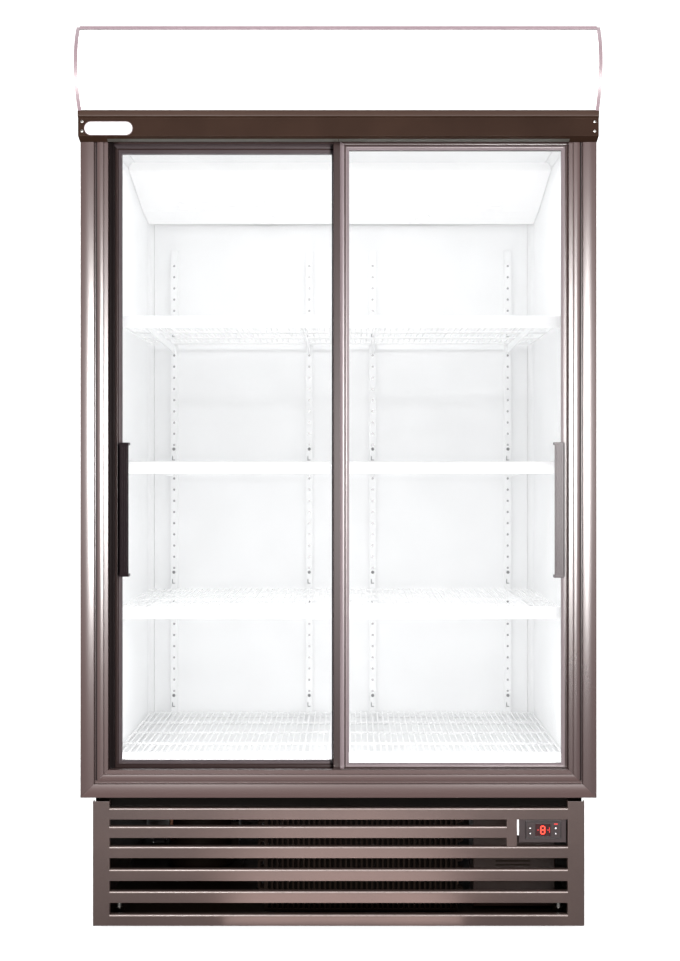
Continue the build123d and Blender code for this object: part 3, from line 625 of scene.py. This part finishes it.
def fascia_details():
    """Screws, drip rail and lip on the fascia, and near-black strips in the surround's grooves below it that
    paint their shade; the drip rail's grey is a painted reflection and the lip's lighter enamel a painted
    highlight.
    """
    low, high = box("fascia")
    screws_low, screws_high = box("fascia_screws")
    inset = 2.8
    crossed_screws("fascia_screw_heads", "fascia_screw_recesses", [
        ((x, screws_low.y + 1, z), (0, -1, 0)) for x in (screws_low.x + inset, screws_high.x - inset)
        for z in (screws_low.z + inset, screws_high.z - inset)], 3.3, 1.6)

    # The drip rail's grey colour is a painted reflection of light from below.
    drip = Piece()
    for x0, x1 in ((low.x + 62, -0.6), (0.6, high.x - 62)):
        drip.along_x([(9.0, -3.6), (8.8, -4.6), (16.6, -7.9), (16.9, -7.1)], x0, x1, (low.y + 3.5, low.z + 8))
    drip.done("fascia_drip_rail", "drip", "bronze_aluminium")

    # The lip cap's lighter enamel is a painted highlight along the fascia's top edge.
    cap = Piece()
    shape = [(0.1, -0.3), (-0.25, -0.6), (-0.4, -1.6), (-0.4, -10.0), (-0.25, -11.2), (0.1, -11.8)]
    cap.along_x(shape, low.x + 0.4, high.x - 0.4, (low.y, high.z))
    cap.done("fascia_lip_cap", "lip", "dark_bronze_steel", angle=70)

    # Near-black strips in the surround's grooves: painted shadow of the grooves.
    groove = Piece()
    for side, sign in (("left", 1), ("right", -1)):
        side_low, side_high = box(f"surround_{side}")
        outer = side_low.x if sign == 1 else side_high.x
        a, b = sorted((outer + sign * 32.0, outer + sign * 35.6))
        groove.block((a, side_low.y + 8.3, side_low.z + 37), (b, side_low.y + 9.05, low.z + 5))
    groove.done("surround_groove_liners", "shadow", "bronze_aluminium", bevel=0.2)


def badge_details():
    """A fine line on the blank badge and a bead round it, both along its pill-shaped edge."""
    low, high = box("blank_badge")
    radius, middle = (high.z - low.z) / 2, (low.z + high.z) / 2
    path = [(centre, math.radians(angle)) for centre, start in ((high.x - radius, -90), (low.x + radius, 90))
            for angle in spaced(start, start + 180, 17)]
    # The badge rim's lighter bronze is a painted highlight.
    for name, look, face, outline in (
            ("badge_line", "seal", low.y, ((-2.6, -0.05), (-2.6, 0.35), (-1.9, 0.35), (-1.9, -0.05))),
            ("badge_rim", "bronze_bead", high.y, ((-0.6, 0.4), (-0.6, 2.1), (0.9, 2.1), (1.1, 0.4)))):
        p = Piece()
        p.sweep([[(centre + (radius + u) * math.cos(a), face - v, middle + (radius + u) * math.sin(a))
                  for u, v in outline] for centre, a in path], closed=True)
        p.done(name, look)


def canopy_details():
    """Screws, joint strips and vents on the light box."""
    low, high = box("canopy_housing")
    trim_low, trim_high = box("sign_trim")
    places = [((x, y, z), (sign, 0, 0)) for sign, x in ((-1, trim_low.x), (1, trim_high.x))
              for y, z in ((trim_high.y - 12, high.z - 30), (trim_high.y - 12, high.z - 105),
                           (trim_low.y + 42, high.z - 14), (trim_low.y + 42, low.z + 14))]
    places += [((x, high.y, z), (0, 1, 0)) for x in spaced(low.x + 60, high.x - 60, 7)
               for z in (high.z - 40, high.z - 120)]
    crossed_screws("canopy_screws", "canopy_screw_recesses", places)
    p = Piece()
    for z0, z1 in ((high.z - 27, high.z - 25.4), (low.z + 52, low.z + 54)):
        p.block((low.x + 4, high.y - 0.2, z0), (high.x - 4, high.y + 1.0, z1))
    for group in spaced(low.x + 150, high.x - 150, 4):
        for x in spaced(group - 27, group + 27, 7):
            p.block((x - 1.6, high.y - 0.1, high.z - 98), (x + 1.6, high.y + 0.9, high.z - 62))
    p.done("canopy_vents", "fascia", "dark_bronze_steel", bevel=0.4)


def casing_details():
    """Folded seams and rivets on the outer casing, and screws and swages on the rear panel."""
    low, high = box("outer_casing")
    seam, rear = high.y - 18, high.y - 1
    p = Piece()
    for sign, x in ((-1, low.x), (1, high.x)):
        inner, outer = sorted((x - sign * 0.3, x + sign * 0.9))
        p.block((inner, seam, low.z + 2), (outer, rear, high.z - 2))
        p.block((inner, low.y + 20, low.z + 1), (outer, seam, low.z + 15))
        p.block((inner, low.y + 20, high.z - 15), (outer, seam, high.z - 1))
    for x0, x1, y0, y1 in ((low.x + 2, high.x - 2, seam, rear), (low.x + 2, low.x + 16, low.y + 90, seam),
                           (high.x - 16, high.x - 2, low.y + 90, seam)):
        p.block((x0, y0, high.z - 0.2), (x1, y1, high.z + 0.9))
    p.done("casing_flanges", "powder", "bronze_steel", bevel=0.4)
    rivets = Piece()
    for sign, x in ((-1, low.x), (1, high.x)):
        for z in spaced(low.z + 50, high.z - 50, 9):
            rivets.screw((x + sign * 0.9, high.y - 9.5, z), (sign, 0, 0), 2.4, 1.0)
    for x in spaced(low.x + 40, high.x - 40, 8):
        rivets.screw((x, high.y - 9.5, high.z + 0.9), (0, 0, 1), 2.4, 1.0)
    rivets.done("casing_rivets", "zinc", "zinc_steel")

    low, high = box("rear_panel")
    crossed_screws("rear_screws", "rear_screw_recesses", [
        ((x, high.y, z), (0, 1, 0)) for x in (low.x + 14, 0.0, high.x - 14)
        for z in spaced(low.z + 25, high.z - 25, 8)])
    swages = Piece()
    tall, pitch, ridge = 380, 470, [(0.0, 0.0), (5.0, 1.6), (9.0, 1.6), (14.0, 0.0)]
    for x0, x1 in ((low.x + 70, -60), (60, high.x - 70)):
        for level in range(3):
            z = low.z + 110 + level * pitch
            swages.rim((x0, z), (x1, z + tall), ridge, high.y - 0.05, 1)
    swages.done("rear_panel_swages", "galvanised", "galvanised")


fascia_details()
badge_details()
canopy_details()
casing_details()

# --- interior


def liner_details():
    """Rounded corners between the liner's walls."""
    low, high = box("inner_liner")
    x0, x1, y0, y1, z0, z1 = low.x + 1, high.x - 1, low.y, high.y - 1, low.z + 1, high.z - 1
    radius = 16
    p = Piece()

    def fillet(corner, a, b, along, length):
        corner, a, b, along = Vector(corner), Vector(a), Vector(b), Vector(along)
        ring = [corner]
        for t in spaced(0, math.pi / 2, 7):
            ring.append(corner + a * radius * (1 - math.sin(t)) + b * radius * (1 - math.cos(t)))
        p.sweep([ring, [q + along * length for q in ring]])

    for x, sign in ((x0, 1), (x1, -1)):
        fillet((x, y1, z0), (sign, 0, 0), (0, -1, 0), (0, 0, 1), z1 - z0)
        fillet((x, y0 + 70, z0), (sign, 0, 0), (0, 0, 1), (0, 1, 0), y1 - y0 - 70)
        fillet((x, y0 + 90, z1), (sign, 0, 0), (0, 0, -1), (0, 1, 0), y1 - y0 - 90)
    fillet((x0, y1, z0), (0, -1, 0), (0, 0, 1), (1, 0, 0), x1 - x0)
    fillet((x0, y1, z1), (0, -1, 0), (0, 0, -1), (1, 0, 0), x1 - x0)
    p.done("liner_coving", "liner", "white_steel")


def underside(way):
    """The downward normal of a plate that runs that way."""
    normal = Vector((0, way.z, -way.y))
    return -normal if normal.z > 0 else normal


def evaporator_details():
    """Fan guards, flange, louvres and screws on the evaporator cover, and bends on its coil."""
    low, high = box("evaporator_cover")
    rear, knee = Vector((0, high.y, low.z)), Vector((0, high.y - 78, low.z + 15))
    front = Vector((0, low.y, high.z - 12))
    slope = (knee - rear).normalized()
    rims = Piece()
    for x in (-210, 210):
        centre = Vector((x, 0, 0)) + rear + slope * 40
        for radius in (12, 22, 31):
            rims.ring(radius - 1, radius + 1, 0.2, 2, centre, underside(slope), 32)
    rims.done("evaporator_fan_guards", "cover", "white_steel")
    flange = Piece()
    top = box("inner_liner")[1].z - 1
    foot = high.z - 14 - top
    shape = [(1.6, foot), (2.8, foot), (2.8, -1.4), (30, -1.4), (30, -0.1), (1.6, -0.1)]
    flange.along_x(shape, low.x + 3, high.x - 3, (low.y, top))
    flange.done("evaporator_cover_flange", "cover", "white_steel", bevel=0.3)
    louvres = Piece()
    run = knee - front
    down, across = run.normalized(), Vector((1, 0, 0))
    hood = ((-22, -2.5, 0), (22, -2.5, 0), (22, 2.5, 0), (-22, 2.5, 0), (-20, 1.5, 2.2), (20, 1.5, 2.2))
    for row in range(3):
        for x in spaced(low.x + 120, high.x - 120, 14):
            middle = Vector((x, 0, 0)) + front + run * (0.72 + row * 0.09)
            louvres.faces([middle + across * s + down * t + underside(down) * h for s, t, h in hood],
                          [(0, 1, 5, 4), (3, 4, 5, 2), (0, 4, 3), (1, 2, 5), (0, 3, 2, 1)])
    louvres.done("evaporator_cover_louvres", "cover", "white_steel")
    heads = Piece()
    for x in (low.x + 25, -170, 170, high.x - 25):
        heads.screw((x, low.y + 0.05, high.z - 6), (0, -1, 0), 3.0, 1.2)
    heads.done("evaporator_cover_screws", "cover", "white_steel")
    coil_low, coil_high = box("evaporator_coil")
    z = (coil_low.z + coil_high.z) / 2
    bends = Piece()
    for side, x in ((-1, coil_low.x), (1, coil_high.x)):
        for y in (coil_low.y + 20, coil_low.y + 50):
            bends.hairpin(x, side, 16, (y, z), (y + 30, z), 4.2, 10, 3.2)
    bends.done("evaporator_bends", "copper")


def shelf_details():
    """Eyelets and tabs on the bracket plates, lips on the price strips, and a grey strip behind the uprights'
    slots that paints the shade seen through them.
    """
    uprights = (-458, -87, 87, 458)
    upright_low, upright_high = box("shelf_pilasters")
    strip_low, strip_high = box("price_strips")
    plate = upright_low.y - 3.7
    hooks, holes, lips, slot_shade = Piece(), Piece(), Piece(), Piece()
    for level in range(1, 5):
        shelf_low, shelf_high = box(f"shelves_level_{level}")
        top = shelf_high.z + 4
        for x in uprights:
            eyelet = (x, plate, top + 39)
            hooks.ring(2.5, 4.3, -0.3, 0.9, eyelet, (0, -1, 0), 24)
            holes.disc(2.5, 0.15, eyelet, (0, -1, 0), 20)
            for right, high in ((-2.5, 20), (3.5, 10)):
                hooks.block((x - 4.5, plate - 1.2, top + 8), (x + right, plate + 0.2, top + high))
        for x0, x1 in ((strip_low.x, -22), (22, strip_high.x)):
            for z in (top - 2.2, top - 27.4):
                lips.block((x0 + 1, strip_low.y - 0.9, z), (x1 - 1, strip_low.y + 0.2, z + 1.6))
            for x in (x0 + 0.4, x1 - 1.6):
                lips.block((x, strip_low.y - 0.5, top - 27.4), (x + 1.2, shelf_low.y + 3, top - 0.6))
    hooks.done("bracket_eyelets", "nylon", "white_steel", bevel=0.2)
    holes.done("bracket_eyelet_holes", "nylon", "white_steel")
    lips.done("price_strip_lips", "strip", "white_plastic", bevel=0.3)
    # Grey strips behind the slots: painted shade seen through them.
    for x in uprights:
        slot_shade.block((x - 4.5, upright_low.y + 1.7, upright_low.z + 4),
                      (x + 4.5, upright_low.y + 2.3, upright_high.z - 4))
    slot_shade.done("pilaster_backing", "nylon", "galvanised")


def lamp_details():
    """Holders for the interior lamp tubes."""
    ceiling = box("inner_liner")[1].z - 1.2
    low, high = box("lamp_tubes")
    foot = 1789  # the holders' lower face
    p = Piece()
    for x in (low.x + 4, high.x - 4, 0.0):
        p.block((x - 5, high.y - 22, foot), (x + 5, high.y - 1, ceiling))
    p.done("lamp_holders", "plastic", "white_plastic", bevel=1.0)


liner_details()
evaporator_details()
shelf_details()
lamp_details()

# --- base


def numeral(piece, front, x, z, wide, tall, on, thick=2.2):
    """A numeral of up to seven lit bars, the ones named in on."""
    w, h = wide / 2, tall / 2
    bars = {"a": ((-w, h), (w, h)), "d": ((-w, -h), (w, -h)), "g": ((-w, 0), (w, 0)),
            "f": ((-w, 0), (-w, h)), "b": ((w, 0), (w, h)), "e": ((-w, -h), (-w, 0)), "c": ((w, -h), (w, 0))}
    for key in on:
        a, b = [Vector((x + u, z + v)) for u, v in bars[key]]
        way = (b - a).normalized()
        gap, point, side = way * 0.35, way * thick / 2, Vector((-way.y, way.x)) * thick / 2
        outline = [a + gap, a + gap + point + side, b - gap - point + side, b - gap, b - gap - point - side,
                   a + gap + point - side]
        piece.along_y(outline, front - 0.05, front + 0.1)


def controller_details():
    """The lit display, the bezel, the marks on the buttons, and the clip beside the controller."""
    low, high = box("controller_display")
    front, middle = low.y - 0.05, (low.z + high.z) / 2
    minus_x, large_x, small_x = 446.0, 456.6, 468.6
    p = Piece()
    numeral(p, front, large_x, middle, 8.6, 16.5, "abcdefg")
    p.done("display_numeral", "segment", "display_lens")
    p = Piece()
    numeral(p, front, small_x, middle, 6.0, 13.5, "bcg", 1.6)
    numeral(p, front, minus_x, middle, 5.0, 13.5, "g", 1.6)
    p.done("display_second_numeral", "segment_dim", "display_lens")

    bezel = box("controller_housing")[0].y
    p = Piece()
    p.block((482, bezel - 0.3, 232.5), (490, bezel + 0.2, 235))
    p.done("status_lamp", "segment_dim", "display_lens", bevel=0.3)
    p = Piece()
    housing_edge, lens_edge = ((418.6, 201.6), (497.4, 239.4)), ((438.6, 205.6), (475.4, 235.4))
    for corners in (housing_edge, lens_edge):
        p.rim(*corners, [(0.0, -0.2), (0.0, 0.7), (-1.2, 0.7), (-2.0, -0.2)], bezel, -1)
    p.done("controller_bezel_lines", "black", "black_plastic")

    r = 1.9
    marks = {"set_button": [(-r, -r * 0.45), (r, -r * 0.45), (r, r * 0.45), (-r, r * 0.45)],
             "down_button": [(-r, r * 0.7), (0, -r), (r, r * 0.7)],
             "defrost_button": polygon(r),
             "up_button": [(-r, -r * 0.7), (r, -r * 0.7), (0, r)]}
    for name, outline in marks.items():
        low, high = box(name)
        p = Piece()
        p.along_y(outline, low.y - 0.12, low.y + 0.15, ((low.x + high.x) / 2, (low.z + high.z) / 2))
        p.done(f"{name}_mark", "mark", "white_plastic", name)

    p = Piece()
    x0, x1, y, foot, top = 396.6, 403.4, box("grille_panel")[0].y + 5.5, 208.5, 247.5
    p.along_z([(x0, y), (x1, y), (x1, y + 6), (x1 - 1, y + 6), (x1 - 1, y + 1), (x0, y + 1)], foot, top)
    p.done("controller_clip", "plastic", "white_plastic", bevel=0.25)


def electrical_box():
    """The box behind the right half of the grille, with the screws and louvres on its front."""
    left, right, foot, top, deep = 309, 497, 22, 262, 90
    y = box("grille_panel")[0].y + 75
    p = Piece()
    p.block((left, y, foot), (right, y + deep, top))
    p.done("electrical_box", "powder", "bronze_steel", bevel=2)
    p = Piece()
    for z in (foot + 18, 150, top - 17):
        for x in (left + 9, right - 9):
            p.screw((x, y, z), (0, -1, 0), 3, 1.2)
    for z in range(80, 134, 9):
        p.block((360, y - 1.2, z), (440, y + 0.2, z + 3))
    p.done("electrical_box_louvres", "dark", "black_steel")


def grille_hems():
    """A rounded hem along the top front edge of every slat, coloured light as a painted highlight."""
    panel = nodes["grille_panel"]
    front = box("grille_panel")[0].y
    levels = {}
    for vertex in panel.data.vertices:
        place = (panel.matrix_world @ vertex.co) / mm
        if place.y > front + 13:
            levels.setdefault(round(place.z, 1), []).append(place.x)
    shape = [(0.3, -3.2), (-0.25, -2.6), (-0.35, -1.4), (0.15, -0.35), (1.3, 0.25), (3.4, 0.25), (3.4, -0.4),
             (0.3, -0.4)]
    for number, top in enumerate(sorted(levels)[1::2], start=1):
        p = Piece()
        p.along_x(shape, min(levels[top]) + 1.2, max(levels[top]) - 1.2, (front, top))
        p.done(f"grille_hem_{number}", "hem", "bronze_steel", angle=60)


def machine_details():
    """Condenser bends, refrigerant lines with a drier, compressor weld rings and the condenser fan's guard."""
    low, high = box("condenser_coil")
    bends = Piece()
    for row in range(5):
        for side, x, lift in ((-1, low.x, 22), (1, high.x, 0)):
            z = low.z + 24 + row * 44 + lift
            for y in (low.y + 14, low.y + 32):
                bends.hairpin(x, side, 12, (y, z), (y, z + 22), 4, 8, 2.4)
    bends.done("condenser_bends", "dark", "black_steel")

    pot_low, pot_high = box("compressor")
    x, y = (pot_low.x + pot_high.x) / 2, (pot_low.y + pot_high.y) / 2
    left, right = low.x - 14, high.x + 14
    drier_x, drier_y = high.x - 60, 60
    lines = Piece()
    lines.pipe([(x - 60, y - 55, 120), (x - 60, y - 105, 120), (x - 60, y - 105, 240), (left, y - 105, 240),
                (left, low.y + 30, 240)], 4, 10, 4)
    lines.pipe([(x + 20, y + 78, 90), (x + 20, y + 120, 90), (x + 20, y + 120, 285), (x + 150, y + 120, 285),
                (x + 150, y + 120, 300)], 5, 10, 4)
    lines.pipe([(right, low.y + 30, 40), (right, low.y + 30, 30), (right, drier_y, 30), (drier_x, drier_y, 30),
                (drier_x, drier_y, 90)], 3.2, 10, 4)
    lines.done("refrigerant_lines", "copper")
    drier = Piece()
    drier.lathe([(0, 0), (4, 0), (5, 8), (12, 20), (12, 90), (5, 102), (4, 110), (0, 110)],
                (drier_x, drier_y, 84), (0, 0, 1))
    drier.done("filter_drier", "copper")
    welds = Piece()
    for z in (70, 86, 180):
        welds.ring(82.2, 83.2, 0, 3, (x, y, z), (0, 0, 1), 48)
    welds.done("compressor_welds", "dark", "black_steel")

    low, high = box("condenser_fan_shroud")
    guard = Piece()
    for radius in (50, 66, 82, 98, 110):
        guard.band([(radius + u, v) for u, v in polygon(1.3, 8)],
                   ((low.x + high.x) / 2, low.y + 42, (low.z + high.z) / 2), (0, 1, 0), 40)
    guard.done("condenser_fan_guard", "zinc", "zinc_steel")


def rear_grille_details():
    """Screws round the rear grille and a hood over each of its slots."""
    low, high = box("rear_grille")
    crossed_screws("rear_grille_screws", "rear_grille_screw_recesses", [
        ((x, high.y, z), (0, 1, 0)) for x in (low.x + 14, -260, 0.0, 260, high.x - 14)
        for z in (low.z + 12, high.z - 12)])
    hoods = Piece()
    hood = [(0, 10.5), (2.4, 4), (2.9, 3.6), (0, 11.5)]
    for column in (-390, -130, 130, 390):
        for z in range(60, 276, 24):
            hoods.along_x(hood, column - 101, column + 101, (high.y - 0.1, z))
    hoods.done("rear_grille_hoods", "galvanised", "galvanised")


def base_side_louvres():
    low, high = box("base_frame")
    p = Piece()
    for sign, x in ((-1, low.x), (1, high.x)):
        inner, outer = sorted((x - sign * 0.2, x + sign * 1.6))
        for y in range(-120, 244, 52):
            for z in (70, 120, 170, 220):
                p.block((inner, y, z), (outer, y + 34, z + 5))
    p.done("base_side_louvres", "dark", "black_steel", bevel=0.6)


def feet_and_castors():
    """A nut and washer on each foot, and a hub ring with bolts on both ends of each castor."""
    for name in ("left_foot", "right_foot"):
        low, high = box(name)
        x, y = (low.x + high.x) / 2, (low.y + high.y) / 2
        p = Piece()
        p.along_z(polygon(9), 11.4, 11.9, (x, y))
        p.ring(12, 20.8, 0, 0.5, (x, y, 11.2), (0, 0, 1), 36)
        p.done(f"{name}_washer", "zinc", "zinc_steel", name)
    for name in ("left_castor", "right_castor"):
        low, high = box(name)
        y, z = (low.y + high.y) / 2, (low.z + high.z) / 2
        p = Piece()
        for sign, x in ((-1, low.x), (1, high.x)):
            p.ring(6, 14, -0.3, 0.25, (x, y, z), (sign, 0, 0), 32)
            for u, v in polygon(17.5):
                p.disc(1.6, 0.3, (x, y + u, z + v), (sign, 0, 0), 12)
        p.done(f"{name}_hub", "nylon", "grey_nylon", name)


controller_details()
electrical_box()
grille_hems()
machine_details()
rear_grille_details()
base_side_louvres()
feet_and_castors()

# --- stage and lights, in metres


def stage_floor():
    """A wide pale floor that fades out round the object."""
    mesh = bpy.data.meshes.new("floor")
    reach = 30
    mesh.from_pydata([(-reach, -reach, 0), (reach, -reach, 0), (reach, reach, 0), (-reach, reach, 0)], [],
                     [(0, 1, 2, 3)])
    o = bpy.data.objects.new("floor", mesh)
    o.location.z = -0.0005
    bpy.context.scene.collection.objects.link(o)
    m, tree, shader = new_material("studio_floor")
    distance = tree.nodes.new("ShaderNodeVectorMath")
    distance.operation = "LENGTH"
    put(distance, {0: object_place(tree)})
    put(shader, {"Base Color": mixed(tree, noise(tree, 2), (0.93, 0.93, 0.93), (0.95, 0.95, 0.95)),
                 "Roughness": 0.9, "Alpha": spread(tree, distance.outputs["Value"], 0.4, 0.0, 0.9, 2.6)})
    mesh.materials.append(m)
    o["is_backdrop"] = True
    return o


def soft_light(name, place, aim, size, power, colour=(1, 1, 1), glossy=True, shape="RECTANGLE"):
    """An area light that the camera doesn't see. power is in watts."""
    data = bpy.data.lights.new(name, "AREA")
    data.shape = shape
    data.size, data.size_y = size
    data.energy = power
    data.color = colour
    data.spread = math.pi
    o = bpy.data.objects.new(name, data)
    o.location = place
    o.rotation_euler = (Vector(aim) - Vector(place)).to_track_quat("-Z", "Y").to_euler()
    o.visible_camera = False
    o.visible_glossy = glossy
    bpy.context.scene.collection.objects.link(o)
    return o


def straight_light(name, x, y, z, size, power, colour=(1, 1, 1), **more):
    """A soft light that faces straight back."""
    return soft_light(name, (x, y, z), (x, y + 1, z), size, power, colour, **more)


def lights_only(lamp, objects):
    """The lamp reaches these objects and no others."""
    group = bpy.data.collections.new(f"lit_by_{lamp.name}")
    for o in objects:
        group.objects.link(o)
    lamp.light_linking.receiver_collection = group


floor = stage_floor()
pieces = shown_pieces()

warm, rosy, pink, pale = (1.0, 0.965, 0.955), (1.0, 0.74, 0.68), (1.0, 0.8, 0.76), (1.0, 0.93, 0.93)
front_left = straight_light("front_left_box", -0.72, -2.9, 1.15, (0.54, 1.26), 122, warm, shape="ELLIPSE")
front_right = straight_light("front_right_box", 0.86, -2.9, 1.18, (0.6, 1.6), 90, warm, shape="ELLIPSE")
floor_glow = soft_light("floor_glow", (0.01, -0.75, 0.003), (0.01, -0.75, 1), (0.54, 0.92), 6.2, rosy)
soft_light("left_box", (-3.0, -0.6, 1.5), (0, 0, 1.1), (1.2, 2.0), 22)
soft_light("right_box", (3.0, -0.6, 1.5), (0, 0, 1.1), (1.2, 2.0), 26)
top_box = soft_light("top_box", (0, -0.2, 4.2), (0, 0, 0.8), (3.0, 3.0), 60)
soft_light("rear_left_box", (-2.2, 3.4, 1.8), (0, 0, 1.0), (1.6, 1.8), 115)
soft_light("rear_right_box", (2.2, 3.4, 1.8), (0, 0, 1.0), (1.6, 1.8), 85)

# The front lights leave out the interior, and the left one also the left door and the centre stile.
no_front = ("left_door_glass", "right_door_glass", "inner_liner", "liner_", "shelves_", "shelf_", "price_strip",
            "evaporator_", "bracket_", "lamp_", "condenser_", "compressor", "electrical_", "refrigerant_",
            "filter_", "base_frame")
no_front_left = ("left_door_frame", "left_door_trim_right", "left_door_trim_top", "left_door_trim_bottom",
                 "right_door_trim_left", "left_door_bead", "left_door_gasket", "left_door_seal",
                 "left_door_handle", "left_handle_", "left_jamb_", "right_door_frame")
no_top = ("surround_bottom", "bottom_track", "left_door_frame", "left_door_trim_bottom",
          "left_door_bead_bottom", "right_door_frame")
outside = [o for o in pieces if not o.name.startswith(no_front)]
lights_only(front_right, outside)
lights_only(front_left, [o for o in outside if not o.name.startswith(no_front_left)])
lights_only(top_box, [o for o in [floor, *pieces] if o.name not in no_top])
lights_only(floor_glow, [nodes["grille_panel"]])
sill_glow = soft_light("sill_glow", (0, -1.3, 0.003), (0, -1.3, 1), (1.1, 0.6), 0.8, pink)
lights_only(sill_glow, [nodes["surround_bottom"]])
stile_fill = straight_light("stile_fill", 0.2, -2.9, 0.72, (1.5, 1.36), 5.0, pale)
lights_only(stile_fill, [nodes["right_door_frame"]])

liner_low, liner_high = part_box("inner_liner")
strip_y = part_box("price_strips")[0].y
inside_y, foot_z = strip_y - 0.02, liner_low.z + 0.045
straight_light("inside_upper", 0, inside_y, 1.42, (1.0, 0.7), 1.55, glossy=False)
straight_light("inside_lower", 0, inside_y, 0.68, (1.0, 0.72), 2.85, glossy=False)
straight_light("inside_foot", 0, inside_y, foot_z, (1.0, 0.06), 0.7, glossy=False)
soft_light("inside_top", (0, strip_y + 0.02, liner_high.z - 0.04), (0, 0.05, 0.3), (0.95, 0.06), 2.0,
           glossy=False)
grille_low, grille_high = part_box("grille_panel")
grille_middle = (grille_low.z + grille_high.z) / 2
straight_light("inside_base", 0, grille_low.y + 0.03, grille_middle, (0.95, 0.2), 0.3, (1.0, 0.8, 0.68),
               glossy=False)

world = bpy.data.worlds.new("studio")
world.use_nodes = True
bpy.context.scene.world = world
air = world.node_tree
ray = air.nodes.new("ShaderNodeLightPath")
level = air.nodes.new("ShaderNodeMix")
level.data_type = "FLOAT"
put(level, {"A": 0.12, "B": 1.6, "Factor": ray.outputs["Is Camera Ray"]})
put(air.nodes["Background"], {"Color": (1, 1, 1, 1), "Strength": level.outputs["Result"]})

scene = bpy.context.scene
scene.view_settings.view_transform = "Standard"
scene.view_settings.look = "None"
scene.cycles.transparent_max_bounces = 24
